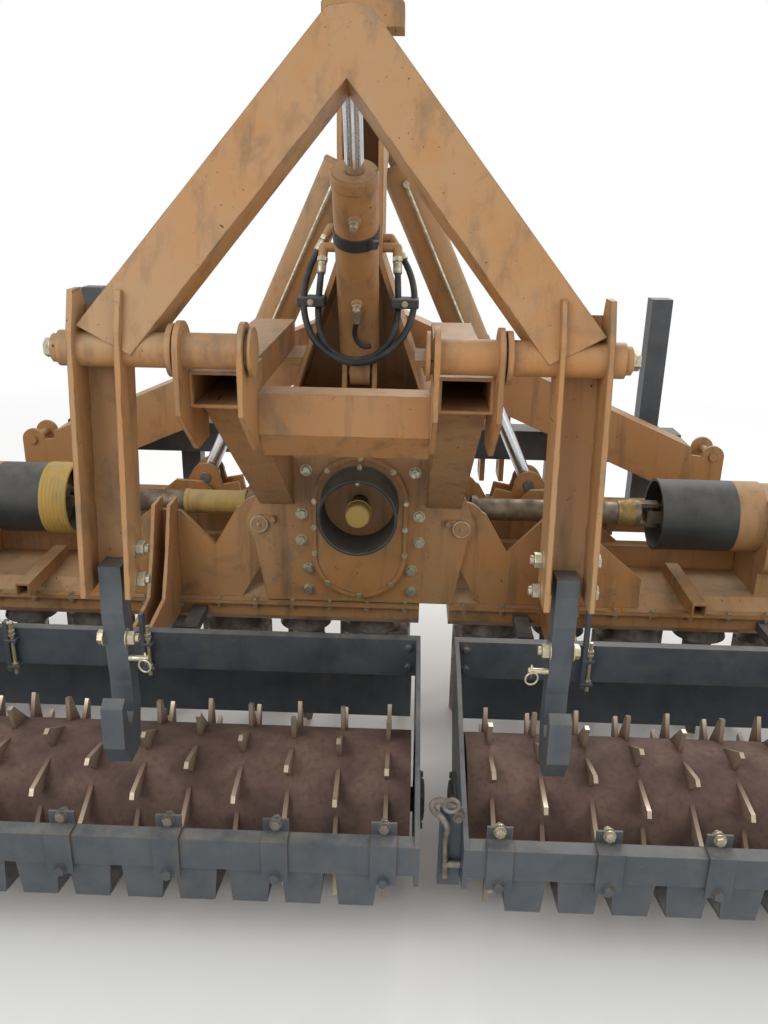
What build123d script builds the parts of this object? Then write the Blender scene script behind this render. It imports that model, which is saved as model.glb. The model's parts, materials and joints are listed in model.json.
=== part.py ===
from build123d import *
from math import atan2, cos, degrees, hypot, radians, sin, tan
import os

# Folding power harrow with toothed packer rollers and a rear lift for a seed drill.
# X points right as seen from behind, Y points forward, Z points up, in millimetres.
# The ground is at Z = 0. Lengths along Y are measured from the line of the rotors while
# modelling, and the finished machine is moved so that its box is centred on Y = 0.

# Clearances
pin_play = 0.5             # between a pin and its bore
shaft_play = 0.3           # between a shaft and its bearing
side_play = 7.0            # beside a lug that turns between two plates
run_play = 5.0             # between pieces that turn past each other

# Beds: the gear troughs that carry the rotors
half_width = 2605.0        # from the machine's centre to each outer end
seam_x = 250.0             # middle of the gap between the two beds, off the machine's centre
seam_gap = 100.0
bed_floor = 419.0
bed_wall_top = 499.0
bed_cover_top = 540.0
bed_half_depth = 175.0     # from the rotor line to the front and rear walls
bed_flange = 20.0          # how far the bolted flange stands out of the walls
bed_flange_thick = 14.0
stiffener_top = 620.0      # box along the front of the cover
stiffener_depth = 55.0
end_plate = 14.0
end_skirt_low = 70.0       # lower edge of the outer side skirts
end_skirt_reach = 235.0

# Rotors
rotor_pitch = 250.0
rotor_end_room = 150.0     # least room from the last rotor to the end of the bed
housing_radius = 86.0
housing_height = 20.0
rotor_shaft_radius = 30.0
rotor_shaft_rise = 60.0    # how far the shaft reaches into the bed
hub_top_radius = 78.0
hub_radius = 92.0
hub_height = 52.0
holder_height = 40.0
holder_width = 96.0
holder_rim = 6.0           # holder left outside a tine
tine_radius = 110.0        # from the rotor's axis to the middle of a tine
tine_thick = 18.0
tine_root_width = 84.0
tine_tip_width = 30.0
tine_trail = 26.0          # how far the tip trails the root
rotor_turn = 20.0          # neighbours stand a quarter turn apart in their mesh

# Packer rollers
roller_behind = 865.0      # roller axis behind the rotor line
roller_radius = 250.0      # over the teeth
drum_radius = 183.0
ring_pitch = 125.0
ring_thick = 11.0
teeth_per_ring = 10
tooth_land = 18.0          # width of a tooth's tip along the rim
tooth_undercut = 3.0       # degrees from the tip back to the foot of the steep face
tooth_back = 33.0          # degrees from the tip to the foot of the long back
ring_turns = (4.0, 22.0)   # degrees from the top to a tip, on every other ring
drum_wall = 10.0
drum_end_gap = 10.0        # from the drum's end to the side plate
stub_radius = 32.0

# Roller frames
roller_plate = 12.0
roller_beam_rear = 560.0
roller_beam_front = 530.0
roller_beam_low = 453.0
roller_beam_top = 571.0
beam_wall = 8.0
side_plate_waist = 450.0   # low enough to pass under the hooks as the wing folds
stub_reach = 24.0          # of a roller's stub from the side plate's inner face outwards
scraper_rear = 1228.0
scraper_depth = 40.0
scraper_low = 318.0
scraper_height = 80.0
scraper_width = 100.0      # at the beam
scraper_edge_width = 72.0
scraper_thick = 9.0
scraper_lean = 26.0        # degrees below the drum's axis where the edge meets it
scraper_knee = 60.0        # from the edge up to the bend
strap_width = 60.0         # straps over the scraper beam, at every other ring
strap_thick = 6.0
strap_tab = 38.0           # upright tab ahead of the beam
strap_foot = 24.0          # end of the strap below the beam
scraper_gap = 7.0          # from the scraper's edge to the drum
board_front = 325.0
board_thick = 14.0
board_low = 170.0
board_top = 400.0
board_end_gap = 20.0
board_posts = (540.0, 1350.0, 2120.0)
post_width = 50.0
post_height = 76.0
board_arm_low = 445.0
board_arm_height = 30.0

# Wing hinges
hinge_x = 327.0
hinge_z = 785.0
hinge_lobe = 80.0          # of the wing's plates
chassis_lobe = 46.0
hinge_pin_radius = 25.0
pin_head_radius = 29.0
pin_head_thick = 14.0
pin_collar_radius = 36.0
pin_collar_thick = 10.0
chassis_plate = 20.0
chassis_plate_outer = 190.0    # outer faces of the chassis plates, front and rear
wing_plate = 20.0
plate_gap = 5.0                # between a chassis plate and the wing plate beside it

# Wing frame
lug_x = 590.0              # pin of the fold cylinder's rod
lug_z = 807.0
lug_lobe = 52.0
lug_plate = 18.0
wing_beam_low = 640.0
wing_beam_top = 740.0
wing_beam_inner = 445.0
wing_beam_outer = 1300.0
fold_plane = 250.0         # fold cylinders ahead of the rotor line
notch_x = 482.0            # bottom of the notch beside the hinge
notch_z = 692.0
plate_end_x = 930.0        # outer end of the hinge plates on a bed
bracket_pairs = [          # pairs of brackets that carry the roller
    {"middle": 633.0, "top": 850.0},
    {"middle": 2250.0, "top": 650.0},
]
bracket_gap = 37.0
bracket_plate = 12.0
wing_web_x = 880.0
socket_x = 1090.0          # square tube on the bed
socket_size = 45.0
socket_wall = 5.0
socket_rear = 290.0
socket_front = 50.0
socket_depth = 150.0

# Fold cylinders
fold_top_x = 55.0
fold_top_z = 1960.0
fold_eye_radius = 42.0
fold_eye_width = 50.0
fold_pin_radius = 20.0
fold_barrel_radius = 65.0
fold_barrel_length = 755.0
fold_bore_radius = 52.0
fold_rod_radius = 25.0
fold_rod_inside = 330.0    # rod left inside the barrel when the wing is down
gland_length = 40.0
fold_neck = 82.0           # from the base pin to the start of the barrel

# Drive
pto_z = 871.0              # also the middle of the cover's upper end
pto_shaft_radius = 26.0
pto_end_radius = 22.2      # splined end that the tractor drives
pto_end_length = 100.0
pto_neck_radius = 62.0     # neck of the gearbox through the chassis plates
pto_rear_reach = 335.0
pto_front_reach = 330.0
pto_cap_radius = 34.0
pto_guard_radius = 120.0
pto_guard_length = 150.0
guard_wall = 7.0
gearbox_half_width = 140.0
gearbox_low = 560.0
gearbox_step = 640.0
gearbox_top = 985.0
cover_half_width = 153.0
cover_lower_z = 693.0
cover_thick = 25.0
cover_rim = 14.0
cover_recess = 4.0
bell_radius = 90.0
bell_reach = 250.0
yoke_radius = 47.0
yoke_reach = 62.0          # from the middle of a joint to the end of its yoke
yoke_hub = 20.0
jaw_half_width = 20.0
jaw_near = 28.0            # faces of a jaw from the shaft's axis
jaw_far = 42.0
cross_radius = 11.0
sleeve_length = 54.0       # bell-shaped sleeve beside the outer joint
sleeve_radius = 47.0
drive_tube_radius = 38.0
drive_stub_radius = 30.0
drive_seat = 70.0          # how far the stub reaches into the side gearbox
limiter_radius = 102.0
limiter_set_back = 53.0    # from the guard's open end to the limiter
limiter_length = 172.0
shaft_guard_inner = 990.0
shaft_guard_outer = 1240.0
shaft_guard_radius = 120.0
guard_rib = 10.0           # width of a rib round the guard
guard_rib_height = 2.0
guard_band = 90.0          # ribbed band at the open end of the left wing's guard
side_box_x = 1455.0
side_box_half_width = 125.0
side_box_half_depth = 150.0
side_box_top = 870.0
side_flange_radius = 120.0

# Rear frame and drill lift
tube_x = 268.0
tube_width = 120.0
tube_height = 80.0
tube_z = 1391.0
tube_wall = 8.0
tube_rear = 990.0
tube_front = 140.0         # clear of the shaft guards when the wings are up
crossbeam_rear = 900.0
crossbeam_depth = 80.0
crossbeam_low = 1202.0
crossbeam_chamfer = 68.0
crossbeam_top = 1367.0
shaft_behind = 1010.0
shaft_z = 1478.0
shaft_radius = 37.5
shaft_inner = 188.0
shaft_outer = 590.0
ear_plate = 12.0
ear_lobe = 62.0
arm_x = 505.0
arm_width = 110.0
arm_depth = 100.0
arm_wall = 12.0
arm_top = 1600.0
arm_low = 950.0
arm_lean = 7.0             # degrees, rearwards at the bottom
apex_forward = 246.0       # top of the A-frame ahead of the lift shaft
apex_z = 2150.0
leg_depth = 80.0
hook_low = 530.0
hook_top = 1010.0
hook_bar_width = 50.0

# Lift cylinder
lift_base_behind = 250.0
lift_base_z = 1300.0
lift_pin_up = 640.0        # along the A-frame from the shaft to the rod's pin
lift_pin_ahead = 85.0      # from the A-frame's middle plane to the rod's pin
lift_eye_radius = 42.0
lift_eye_width = 60.0
lift_pin_radius = 18.0
lift_barrel_radius = 57.0
lift_barrel_length = 640.0
lift_bore_radius = 40.0
lift_rod_radius = 23.0
lift_rod_inside = 55.0
lift_gland = 25.0
lift_neck = 76.0
lift_lug_plate = 14.0

# Tower
tower_half_width = 62.0
tower_foot_half_width = 209.0
tower_waist_z = 1631.0
tower_foot_z = 1207.0
tower_top = 2200.0
tower_rear = 350.0
tower_front = 50.0
tower_wall = 14.0
hose_radius = 9.0
hose_end_radius = 13.0
hose_elbow = 40.0
head_top = 2295.0
head_half_width = 108.0
head_plate = 20.0

# Chassis plates
chassis_foot_half = 307.0  # half width of the rear plate at its foot
chassis_waist_x = 329.0
chassis_waist_z = 630.0
chassis_foot_gap = 6.0     # from the rear plate's foot to the bed's flange
front_plate_gap = 12.0     # from the front plate's foot to the bed's stiffener
front_foot_half = 190.0
web_x = 225.0
web_thick = 15.0
web_low = 900.0
foot_plate = 20.0          # thickness of the plates under the tower
spine_half = 110.0
spine_low = 1120.0
spine_top = 1390.0
spine_wall = 10.0

# Front beam, toolbar and hitch
front_beam_rear = 455.0
front_beam_depth = 150.0
front_beam_top = 1430.0
front_beam_height = 200.0
front_beam_half = 1240.0
front_beam_drop = 0.43     # fall of the beam for each millimetre outwards
clevis_x = 1325.0
clevis_z = 862.0
clevis_lobe = 42.0
clevis_plate = 16.0
clevis_pin_radius = 16.0
toolbar_low = 787.0
toolbar_size = 120.0
toolbar_inner = 230.0      # the tractor's shaft passes between the toolbar's halves
eradicator_size = 80.0
lowered_x = 773.0
raised_x = 1136.0
hitch_x = 505.0
hitch_pin_z = 700.0
hitch_pin_ahead = 815.0
hitch_bore = 18.5
hitch_gap = 60.0           # between the two plates of a lower hitch ear
hitch_plate = 20.0
top_link_z = 1385.0
top_link_ahead = 705.0
top_link_bore = 16.2
top_link_gap = 56.0


# Basic forms

def block(x, y, z):
    # a box between pairs of limits
    size = (x[1] - x[0], y[1] - y[0], z[1] - z[0])
    return Pos(x[0], y[0], z[0]) * Box(*size, align=(Align.MIN, Align.MIN, Align.MIN))


def bar(start, end, radius, bore=0.0):
    # a round bar between two points, or a tube if it has a bore
    first, last = Vector(*start), Vector(*end)
    face = Circle(radius)
    if bore > 0:
        face = face - Circle(bore)
    return extrude(Plane(origin=first, z_dir=last - first) * face, (last - first).length)


def shape(points):
    return Polygon(*points, align=None)


def disc(at, radius):
    return Pos(*at) * Circle(radius)


def across(face, x):
    # a plate whose outline is drawn in Y and Z, between two X
    plane = Plane(origin=(x[0], 0, 0), x_dir=(0, 1, 0), z_dir=(1, 0, 0))
    return extrude(plane * face, x[1] - x[0], dir=plane.z_dir)


def along(face, y):
    # a plate whose outline is drawn in X and Z, between two Y
    plane = Plane(origin=(0, y[1], 0), x_dir=(1, 0, 0), z_dir=(0, -1, 0))
    return extrude(plane * face, y[1] - y[0], dir=plane.z_dir)


def flat(face, z):
    # a plate whose outline is drawn in X and Y, between two Z
    return extrude(Plane(origin=(0, 0, z[0])) * face, z[1] - z[0], dir=(0, 0, 1))


def mirrored(form):
    return mirror(form, about=Plane.YZ)


def both(form):
    return form + mirrored(form)


nodes = {}


def keep(name, form):
    nodes[name] = form


# Beds and rotors
# A wing is drawn on the right: "inner" is its inner end, negative past the machine's centre.

wings = [
    {"side": "left", "inner": -(seam_x - seam_gap / 2)},
    {"side": "right", "inner": seam_x + seam_gap / 2},
]


def rotor_places(inner):
    length = half_width - inner
    count = int((length - 2 * rotor_end_room) // rotor_pitch) + 1
    first = inner + (length - (count - 1) * rotor_pitch) / 2
    return [first + number * rotor_pitch for number in range(count)]


def bed_profile():
    wall = bed_half_depth
    lip = wall + bed_flange
    lip_low = bed_wall_top - bed_flange_thick / 2
    lip_top = lip_low + bed_flange_thick
    crown = wall - 55
    stiff_front = wall - 10
    stiff_rear = stiff_front - stiffener_depth
    return shape([
        (-wall + 25, bed_floor), (wall - 25, bed_floor), (wall, bed_floor + 25),
        (wall, lip_low), (lip, lip_low), (lip, lip_top), (stiff_front, lip_top),
        (stiff_front, stiffener_top), (stiff_rear, stiffener_top), (stiff_rear, bed_cover_top),
        (-crown, bed_cover_top), (-stiff_front, lip_top), (-lip, lip_top), (-lip, lip_low),
        (-wall, lip_low), (-wall, bed_floor + 25),
    ])


def bed(inner):
    body = across(bed_profile(), (inner, half_width - end_plate))
    for x in rotor_places(inner):
        low = bed_floor - housing_height
        body += bar((x, 0, low), (x, 0, bed_floor), housing_radius)
        bore_top = low - run_play + rotor_shaft_rise + run_play
        body -= bar((x, 0, low), (x, 0, bore_top), rotor_shaft_radius + shaft_play)
    skirt = shape([
        (-end_skirt_reach + 40, end_skirt_low), (end_skirt_reach - 90, end_skirt_low),
        (end_skirt_reach, end_skirt_low + 120), (end_skirt_reach, bed_floor + 60),
        (bed_half_depth, stiffener_top + 30), (-bed_half_depth + 60, stiffener_top),
        (-end_skirt_reach, bed_floor + 60), (-end_skirt_reach, end_skirt_low + 40),
    ])
    return body + across(skirt, (half_width - end_plate, half_width))


def rotor(x, turn, hand):
    hub_top = bed_floor - housing_height - run_play
    hub_low = hub_top - hub_height
    holder_low = hub_low - holder_height
    upright = (Align.CENTER, Align.CENTER, Align.MIN)
    hub = Pos(0, 0, hub_low) * Cone(hub_radius, hub_top_radius, hub_height, align=upright)
    hub += bar((0, 0, hub_top), (0, 0, hub_top + rotor_shaft_rise), rotor_shaft_radius)
    holder_length = 2 * (tine_radius + tine_thick / 2 + holder_rim)
    holder = flat(SlotOverall(holder_length, holder_width), (holder_low, hub_low))
    root = tine_root_width / 2
    tip = tine_tip_width / 2
    blade = shape([
        (-root, hub_low), (root, hub_low), (root, holder_low - 60),
        (tip - hand * tine_trail, 0), (-tip - hand * tine_trail, 0), (-root, holder_low - 60),
    ])
    reach = (tine_radius - tine_thick / 2, tine_radius + tine_thick / 2)
    tine = across(blade, reach)
    pair = tine + Rot(0, 0, 180) * tine
    return Pos(x, 0, 0) * Rot(0, 0, turn) * (hub + holder + pair)


# Packer rollers

def tooth_ring(turn):
    # a ring of saw teeth: long backs that rise forwards of steep faces, roots inside the drum
    root = drum_radius - 6

    def spot(radius, angle):
        return (radius * sin(radians(angle)), radius * cos(radians(angle)))

    land = degrees(tooth_land / roller_radius)
    tooth = shape([
        spot(root, tooth_undercut), spot(roller_radius, 0), spot(roller_radius, land), spot(root, tooth_back),
    ])
    teeth = [Rot(0, 0, turn + number * 360 / teeth_per_ring) * tooth for number in range(teeth_per_ring)]
    return Circle(root + 3) + teeth - Circle(drum_radius - drum_wall)


def ring_places(start, end):
    # middles of the tooth rings between the ends of a drum
    room = end - start - ring_thick
    count = int(room // ring_pitch) + 1
    first = (start + end - (count - 1) * ring_pitch) / 2
    return [first + number * ring_pitch for number in range(count)]


def drum_ends(inner):
    gap = roller_plate + drum_end_gap
    return (inner + gap, half_width - end_plate - gap)


def roller(inner):
    start, end = drum_ends(inner)
    axis = (-roller_behind, roller_radius)
    shell = disc(axis, drum_radius) - disc(axis, drum_radius - drum_wall)
    drum = across(shell, (start, end))
    drum += across(disc(axis, drum_radius - drum_wall / 2), (start, start + drum_wall))
    drum += across(disc(axis, drum_radius - drum_wall / 2), (end - drum_wall, end))
    rings = []
    for number, x in enumerate(ring_places(start, end)):
        ring = Pos(*axis) * tooth_ring(ring_turns[number % 2])
        rings.append(across(ring, (x - ring_thick / 2, x + ring_thick / 2)))
    stub_start = inner + roller_plate - stub_reach
    stub_end = half_width - end_plate - roller_plate + stub_reach
    stubs = across(disc(axis, stub_radius), (stub_start, start + drum_wall))
    stubs += across(disc(axis, stub_radius), (end - drum_wall, stub_end))
    return Part() + [drum, stubs] + rings


# Roller frames

def roller_frame(inner):
    start = inner
    end = half_width - end_plate
    beam = block((start, end), (-roller_beam_rear, -roller_beam_front), (roller_beam_low, roller_beam_top))
    room = block(
        (start + roller_plate, end - roller_plate),
        (-roller_beam_rear + beam_wall, -roller_beam_front - beam_wall),
        (roller_beam_low + beam_wall, roller_beam_top - beam_wall),
    )
    side = shape([
        (-roller_beam_front, roller_beam_top), (-roller_beam_front, roller_beam_low - 40),
        (-roller_behind + 90, roller_radius - 70), (-roller_behind - 70, roller_radius - 90),
        (-scraper_rear, scraper_low - 30), (-scraper_rear, scraper_low + scraper_height),
        (-roller_behind - 135, side_plate_waist), (-roller_beam_rear - 120, roller_beam_top - 15),
        (-roller_beam_rear, roller_beam_top),
    ])
    side -= disc((-roller_behind, roller_radius), stub_radius + pin_play)
    frame = beam - room
    frame += across(side, (start, start + roller_plate))
    frame += across(side, (end - roller_plate, end))
    return frame


def scraper_bar(inner):
    start = inner + roller_plate
    end = half_width - end_plate - roller_plate
    rear = scraper_rear
    front = rear - scraper_depth
    top = scraper_low + scraper_height
    body = block((start, end), (-rear, -front), (scraper_low, top))
    wall = beam_wall
    body -= block((start + wall, end - wall), (-rear + wall, -front - wall), (scraper_low + wall, top - wall))
    # each scraper drops from the beam and turns forwards to the drum's lower rear
    lean = radians(scraper_lean)
    reach = drum_radius + scraper_gap
    edge = (-roller_behind - reach * cos(lean), roller_radius - reach * sin(lean))
    knee = (-(rear + front) / 2, edge[1] + scraper_knee)
    thick = scraper_thick
    outline = shape([
        (knee[0] - thick, scraper_low), (knee[0] - thick, knee[1] - thick), edge,
        (edge[0], edge[1] + thick), (knee[0], knee[1]), (knee[0], scraper_low),
    ])
    wide = scraper_width / 2
    narrow = scraper_edge_width / 2
    under = edge[1] - thick
    taper = shape([(-wide, scraper_low), (wide, scraper_low), (narrow, under), (-narrow, under)])
    blade = across(outline, (-wide, wide)) & along(taper, (-rear, edge[0] + thick))
    thick = strap_thick
    strap = shape([
        (-rear - thick, scraper_low - strap_foot),
        (-rear, scraper_low - strap_foot), (-rear, top), (-front, top),
        (-front, top + strap_tab), (-front - thick, top + strap_tab), (-front - thick, top + thick),
        (-rear - thick, top + thick),
    ])
    rings = ring_places(*drum_ends(inner))
    for x in rings[::2]:
        body += across(strap, (x - strap_width / 2, x + strap_width / 2))
    blades = [Pos(x + ring_pitch / 2, 0, 0) * blade for x in rings[:-1]]
    return Part() + [body] + blades


def levelling_board(inner):
    start = inner + board_end_gap
    end = half_width - end_plate - board_end_gap
    rear = board_front + board_thick
    body = block((start, end), (-rear, -board_front), (board_low, board_top))
    half = post_width / 2
    arm_top = board_arm_low + board_arm_height
    for x in board_posts:
        body += block((x - half, x + half), (-rear, -board_front), (board_top, board_top + post_height))
        body += block((x - half, x + half), (-board_front, -bed_half_depth), (board_arm_low, arm_top))
    return body


# Wing frame

def lobed_plate():
    # hinge lobe, notch, shoulder under the fold cylinder's lug and the slope down to the bed
    low = bed_wall_top + bed_flange_thick / 2
    outline = shape([
        (hinge_x - hinge_lobe, hinge_z), (chassis_waist_x, chassis_waist_z), (hinge_x + 70, low),
        (plate_end_x, low), (plate_end_x, bed_cover_top + 70), (lug_x + 95, lug_z + 5), (lug_x, lug_z),
        (notch_x, notch_z), (hinge_x + hinge_lobe - 1, hinge_z + 38), (hinge_x, hinge_z + hinge_lobe),
    ])
    outline += disc((hinge_x, hinge_z), hinge_lobe)
    return outline - disc((hinge_x, hinge_z), hinge_pin_radius + pin_play)


def wing_frame():
    outer = chassis_plate_outer - chassis_plate - plate_gap
    inner = outer - wing_plate
    frame = along(lobed_plate(), (-outer, -inner)) + along(lobed_plate(), (inner, outer))
    eye_half = fold_eye_width / 2 + side_play
    beam_rear = fold_plane - eye_half - lug_plate
    beam_front = fold_plane + eye_half + lug_plate
    beam = block((wing_beam_inner, wing_beam_outer), (beam_rear, beam_front), (wing_beam_low, wing_beam_top))
    beam -= block(
        (wing_beam_inner + beam_wall, wing_beam_outer - beam_wall),
        (beam_rear + beam_wall, beam_front - beam_wall),
        (wing_beam_low + beam_wall, wing_beam_top - beam_wall),
    )
    frame += beam
    lug = shape([
        (lug_x - 130, wing_beam_top), (lug_x - 120, wing_beam_top + 52), (lug_x - 60, wing_beam_top + 40),
        (lug_x - 44, lug_z + 28), (lug_x + 44, lug_z + 28), (lug_x + 100, wing_beam_top),
    ])
    lug += disc((lug_x, lug_z), lug_lobe)
    lug -= disc((lug_x, lug_z), fold_pin_radius + pin_play)
    lug -= Pos(lug_x, wing_beam_top - 50) * Rectangle(400, 100)
    frame += along(lug, (beam_rear, beam_rear + lug_plate))
    frame += along(lug, (beam_front - lug_plate, beam_front))
    # webs that join the beam to the hinge plate and the bed
    for x in (wing_beam_inner, wing_web_x):
        frame += block((x, x + 20), (outer, beam_rear), (wing_beam_low, wing_beam_top))
    stiff_front = bed_half_depth - 10
    frame += block(
        (wing_beam_outer - 30, wing_beam_outer - 10),
        (stiff_front, beam_rear), (bed_cover_top, wing_beam_top),
    )
    # pairs of brackets behind the bed that carry the roller frame
    behind = bed_half_depth + bed_flange
    bracket_top = max(pair["top"] for pair in bracket_pairs)
    bracket = shape([
        (-inner, bed_wall_top), (-inner, bracket_top), (-outer - 70, bracket_top), (-outer - 125, 710),
        (-outer - 193, 581), (-roller_beam_front, roller_beam_top - 10),
        (-roller_beam_front, roller_beam_low + 6),
        (-behind, bed_floor + 40), (-behind, bed_wall_top),
    ])
    for pair in bracket_pairs:
        reach = bracket_gap / 2 + bracket_plate
        x = (pair["middle"] - reach, pair["middle"] + reach)
        plates = across(bracket, (x[0], x[0] + bracket_plate)) + across(bracket, (x[1] - bracket_plate, x[1]))
        frame += plates & block(x, (-roller_beam_front, -inner), (bed_floor, pair["top"]))
    # a square tube lies across the bed, open behind
    half = socket_size / 2
    low = bed_cover_top
    frame += block((socket_x - half, socket_x + half), (-socket_rear, socket_front), (low, low + socket_size))
    half -= socket_wall
    frame -= block(
        (socket_x - half, socket_x + half), (-socket_rear, -socket_rear + socket_depth),
        (low + socket_wall, low + socket_size - socket_wall),
    )
    return frame - across(bed_profile(), (hinge_x - hinge_lobe, half_width))


def side_gearbox():
    low = bed_cover_top
    shoulder = stiffener_top + 5
    foot_depth = bed_half_depth - 10 - stiffener_depth - 5
    x = (side_box_x - side_box_half_width, side_box_x + side_box_half_width)
    body = block(x, (-side_box_half_depth, side_box_half_depth), (shoulder, side_box_top))
    body = fillet(body.edges().filter_by(Axis.X), 45)
    body += block(x, (-foot_depth, foot_depth), (low, shoulder + 60))
    body += bar((shaft_guard_outer, 0, hinge_z), (x[0], 0, hinge_z), side_flange_radius)
    body += bar((side_box_x, 0, side_box_top), (side_box_x, 0, side_box_top + 24), 70)
    seat_end = shaft_guard_outer + drive_seat + run_play
    body -= bar((shaft_guard_outer, 0, hinge_z), (seat_end, 0, hinge_z), drive_stub_radius + shaft_play)
    return body


def shaft_guard(banded):
    start = shaft_guard_inner
    outer = shaft_guard_radius
    guard = bar((start, 0, hinge_z), (shaft_guard_outer, 0, hinge_z), outer, outer - guard_wall)
    ribs = (0, (guard_band - guard_rib) / 2, guard_band - guard_rib) if banded else (0,)
    for place in ribs:
        x = start + place
        guard += bar((x, 0, hinge_z), (x + guard_rib, 0, hinge_z), outer + guard_rib_height, outer - guard_wall)
    return guard


def universal_joint(middle):
    # two hubs, a pair of jaws on each and the cross between them
    z = hinge_z
    form = Part()
    for sign in (-1, 1):
        end = middle + sign * yoke_reach
        face = end - sign * yoke_hub
        form += bar((face, 0, z), (end, 0, z), yoke_radius)
        reach = tuple(sorted((face, middle - sign * jaw_half_width)))
        for near, far in ((jaw_near, jaw_far), (-jaw_far, -jaw_near)):
            if sign < 0:
                form += block(reach, (-jaw_half_width, jaw_half_width), (z + near, z + far))
            else:
                form += block(reach, (near, far), (z - jaw_half_width, z + jaw_half_width))
    form += bar((middle, 0, z - jaw_far), (middle, 0, z + jaw_far), cross_radius)
    form += bar((middle, -jaw_far, z), (middle, jaw_far, z), cross_radius)
    return form


def driveline():
    z = hinge_z
    limiter_start = shaft_guard_inner + limiter_set_back
    limiter_end = limiter_start + limiter_length
    outer_joint = limiter_start - yoke_reach
    sleeve_end = outer_joint - yoke_reach
    sleeve_start = sleeve_end - sleeve_length
    form = universal_joint(hinge_x) + universal_joint(outer_joint)
    form += bar((hinge_x + yoke_reach, 0, z), (sleeve_start, 0, z), drive_tube_radius)
    upright = (Align.CENTER, Align.CENTER, Align.MIN)
    sleeve = Cone(drive_tube_radius + 2, sleeve_radius, sleeve_length, align=upright)
    form += Plane(origin=(sleeve_start, 0, z), z_dir=(1, 0, 0)) * sleeve
    form += bar((limiter_start, 0, z), (limiter_end, 0, z), limiter_radius)
    form += bar((limiter_end, 0, z), (shaft_guard_outer + drive_seat, 0, z), drive_stub_radius)
    return form


for wing in wings:
    side = wing["side"]
    inner = wing["inner"]
    turn_over = mirrored if side == "left" else (lambda form: form)
    keep("bed_" + side, turn_over(bed(inner)))
    keep("wing_frame_" + side, turn_over(wing_frame()))
    keep("side_gearbox_" + side, turn_over(side_gearbox()))
    keep("shaft_guard_" + side, turn_over(shaft_guard(side == "left")))
    keep("driveline_" + side, turn_over(driveline()))
    keep("roller_frame_" + side, turn_over(roller_frame(inner)))
    keep("scraper_bar_" + side, turn_over(scraper_bar(inner)))
    keep("levelling_board_" + side, turn_over(levelling_board(inner)))
    keep("roller_" + side, turn_over(roller(inner)))
    for number, x in enumerate(rotor_places(inner), start=1):
        hand = 1 if number % 2 else -1
        turn = rotor_turn if number % 2 else 90 - rotor_turn
        keep(f"rotor_{side}_{number:02d}", turn_over(rotor(x, turn, hand)))


# Chassis

def hinge_frame():
    outer = chassis_plate_outer
    inner = outer - chassis_plate
    neck_z = tower_foot_z - foot_plate
    flange_top = bed_wall_top + bed_flange_thick / 2
    web_outer = web_x + web_thick

    def face(foot):
        half = shape(foot + [
            (hinge_x + chassis_lobe, hinge_z), (hinge_x + 10, hinge_z + 95), (web_outer, hinge_z + 260),
            (web_outer, neck_z), (0, neck_z),
        ])
        right = half + disc((hinge_x, hinge_z), chassis_lobe) - disc((hinge_x, hinge_z), hinge_pin_radius)
        whole = right + mirror(right, about=Plane.YZ)
        return whole - disc((0, pto_z), pto_neck_radius)

    low = flange_top + chassis_foot_gap
    foot = [
        (0, low), (chassis_foot_half, low), (chassis_waist_x, chassis_waist_z),
        (chassis_waist_x + 16, chassis_waist_z + 90),
    ]
    frame = along(face(foot), (-outer, -inner))
    low = stiffener_top + front_plate_gap
    foot = [(0, low), (front_foot_half, low), (hinge_x - 66, hinge_z - 90)]
    frame += along(face(foot), (inner, outer))
    frame += both(block((web_x, web_outer), (-inner, inner), (web_low, neck_z)))
    frame += block((-web_x, web_x), (-inner, inner), (neck_z - foot_plate, neck_z))
    y = (outer, front_beam_rear)
    wall = spine_wall
    spine = block((-spine_half, spine_half), y, (spine_low, spine_top))
    spine -= block((-spine_half + wall, spine_half - wall), y, (spine_low + wall, spine_top - wall))
    return frame + spine + block((-spine_half, spine_half), (inner, outer), (neck_z, spine_top))


# Two hoses hang in loops behind the tower's foot, from elbows on its sides.
hose_left_points = [
    (-104, -330, 1617), (-107, -350, 1575), (-109, -378, 1531), (-109, -410, 1489), (-103, -441, 1449),
    (-86, -466, 1410), (-50, -482, 1381), (0, -488, 1370), (50, -482, 1382), (87, -464, 1412),
    (105, -437, 1451), (110, -405, 1492), (109, -373, 1535), (106, -345, 1577), (104, -324, 1619),
]
hose_right_points = [
    (-104, -285, 1670), (-125, -303, 1633), (-142, -332, 1591), (-150, -373, 1547), (-148, -417, 1501),
    (-133, -459, 1454), (-103, -492, 1412), (-58, -513, 1381), (-2, -521, 1368), (54, -514, 1378),
    (102, -495, 1407), (134, -464, 1446), (151, -424, 1489), (155, -380, 1532), (146, -338, 1575),
    (128, -306, 1614), (104, -285, 1648),
]


def tower_outline(inset):
    waist = tower_half_width - inset
    foot = tower_foot_half_width - inset * 1.06
    return shape([
        (-foot, tower_foot_z), (foot, tower_foot_z), (waist, tower_waist_z - inset * 0.2),
        (waist, tower_top), (-waist, tower_top), (-waist, tower_waist_z - inset * 0.2),
    ])


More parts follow.
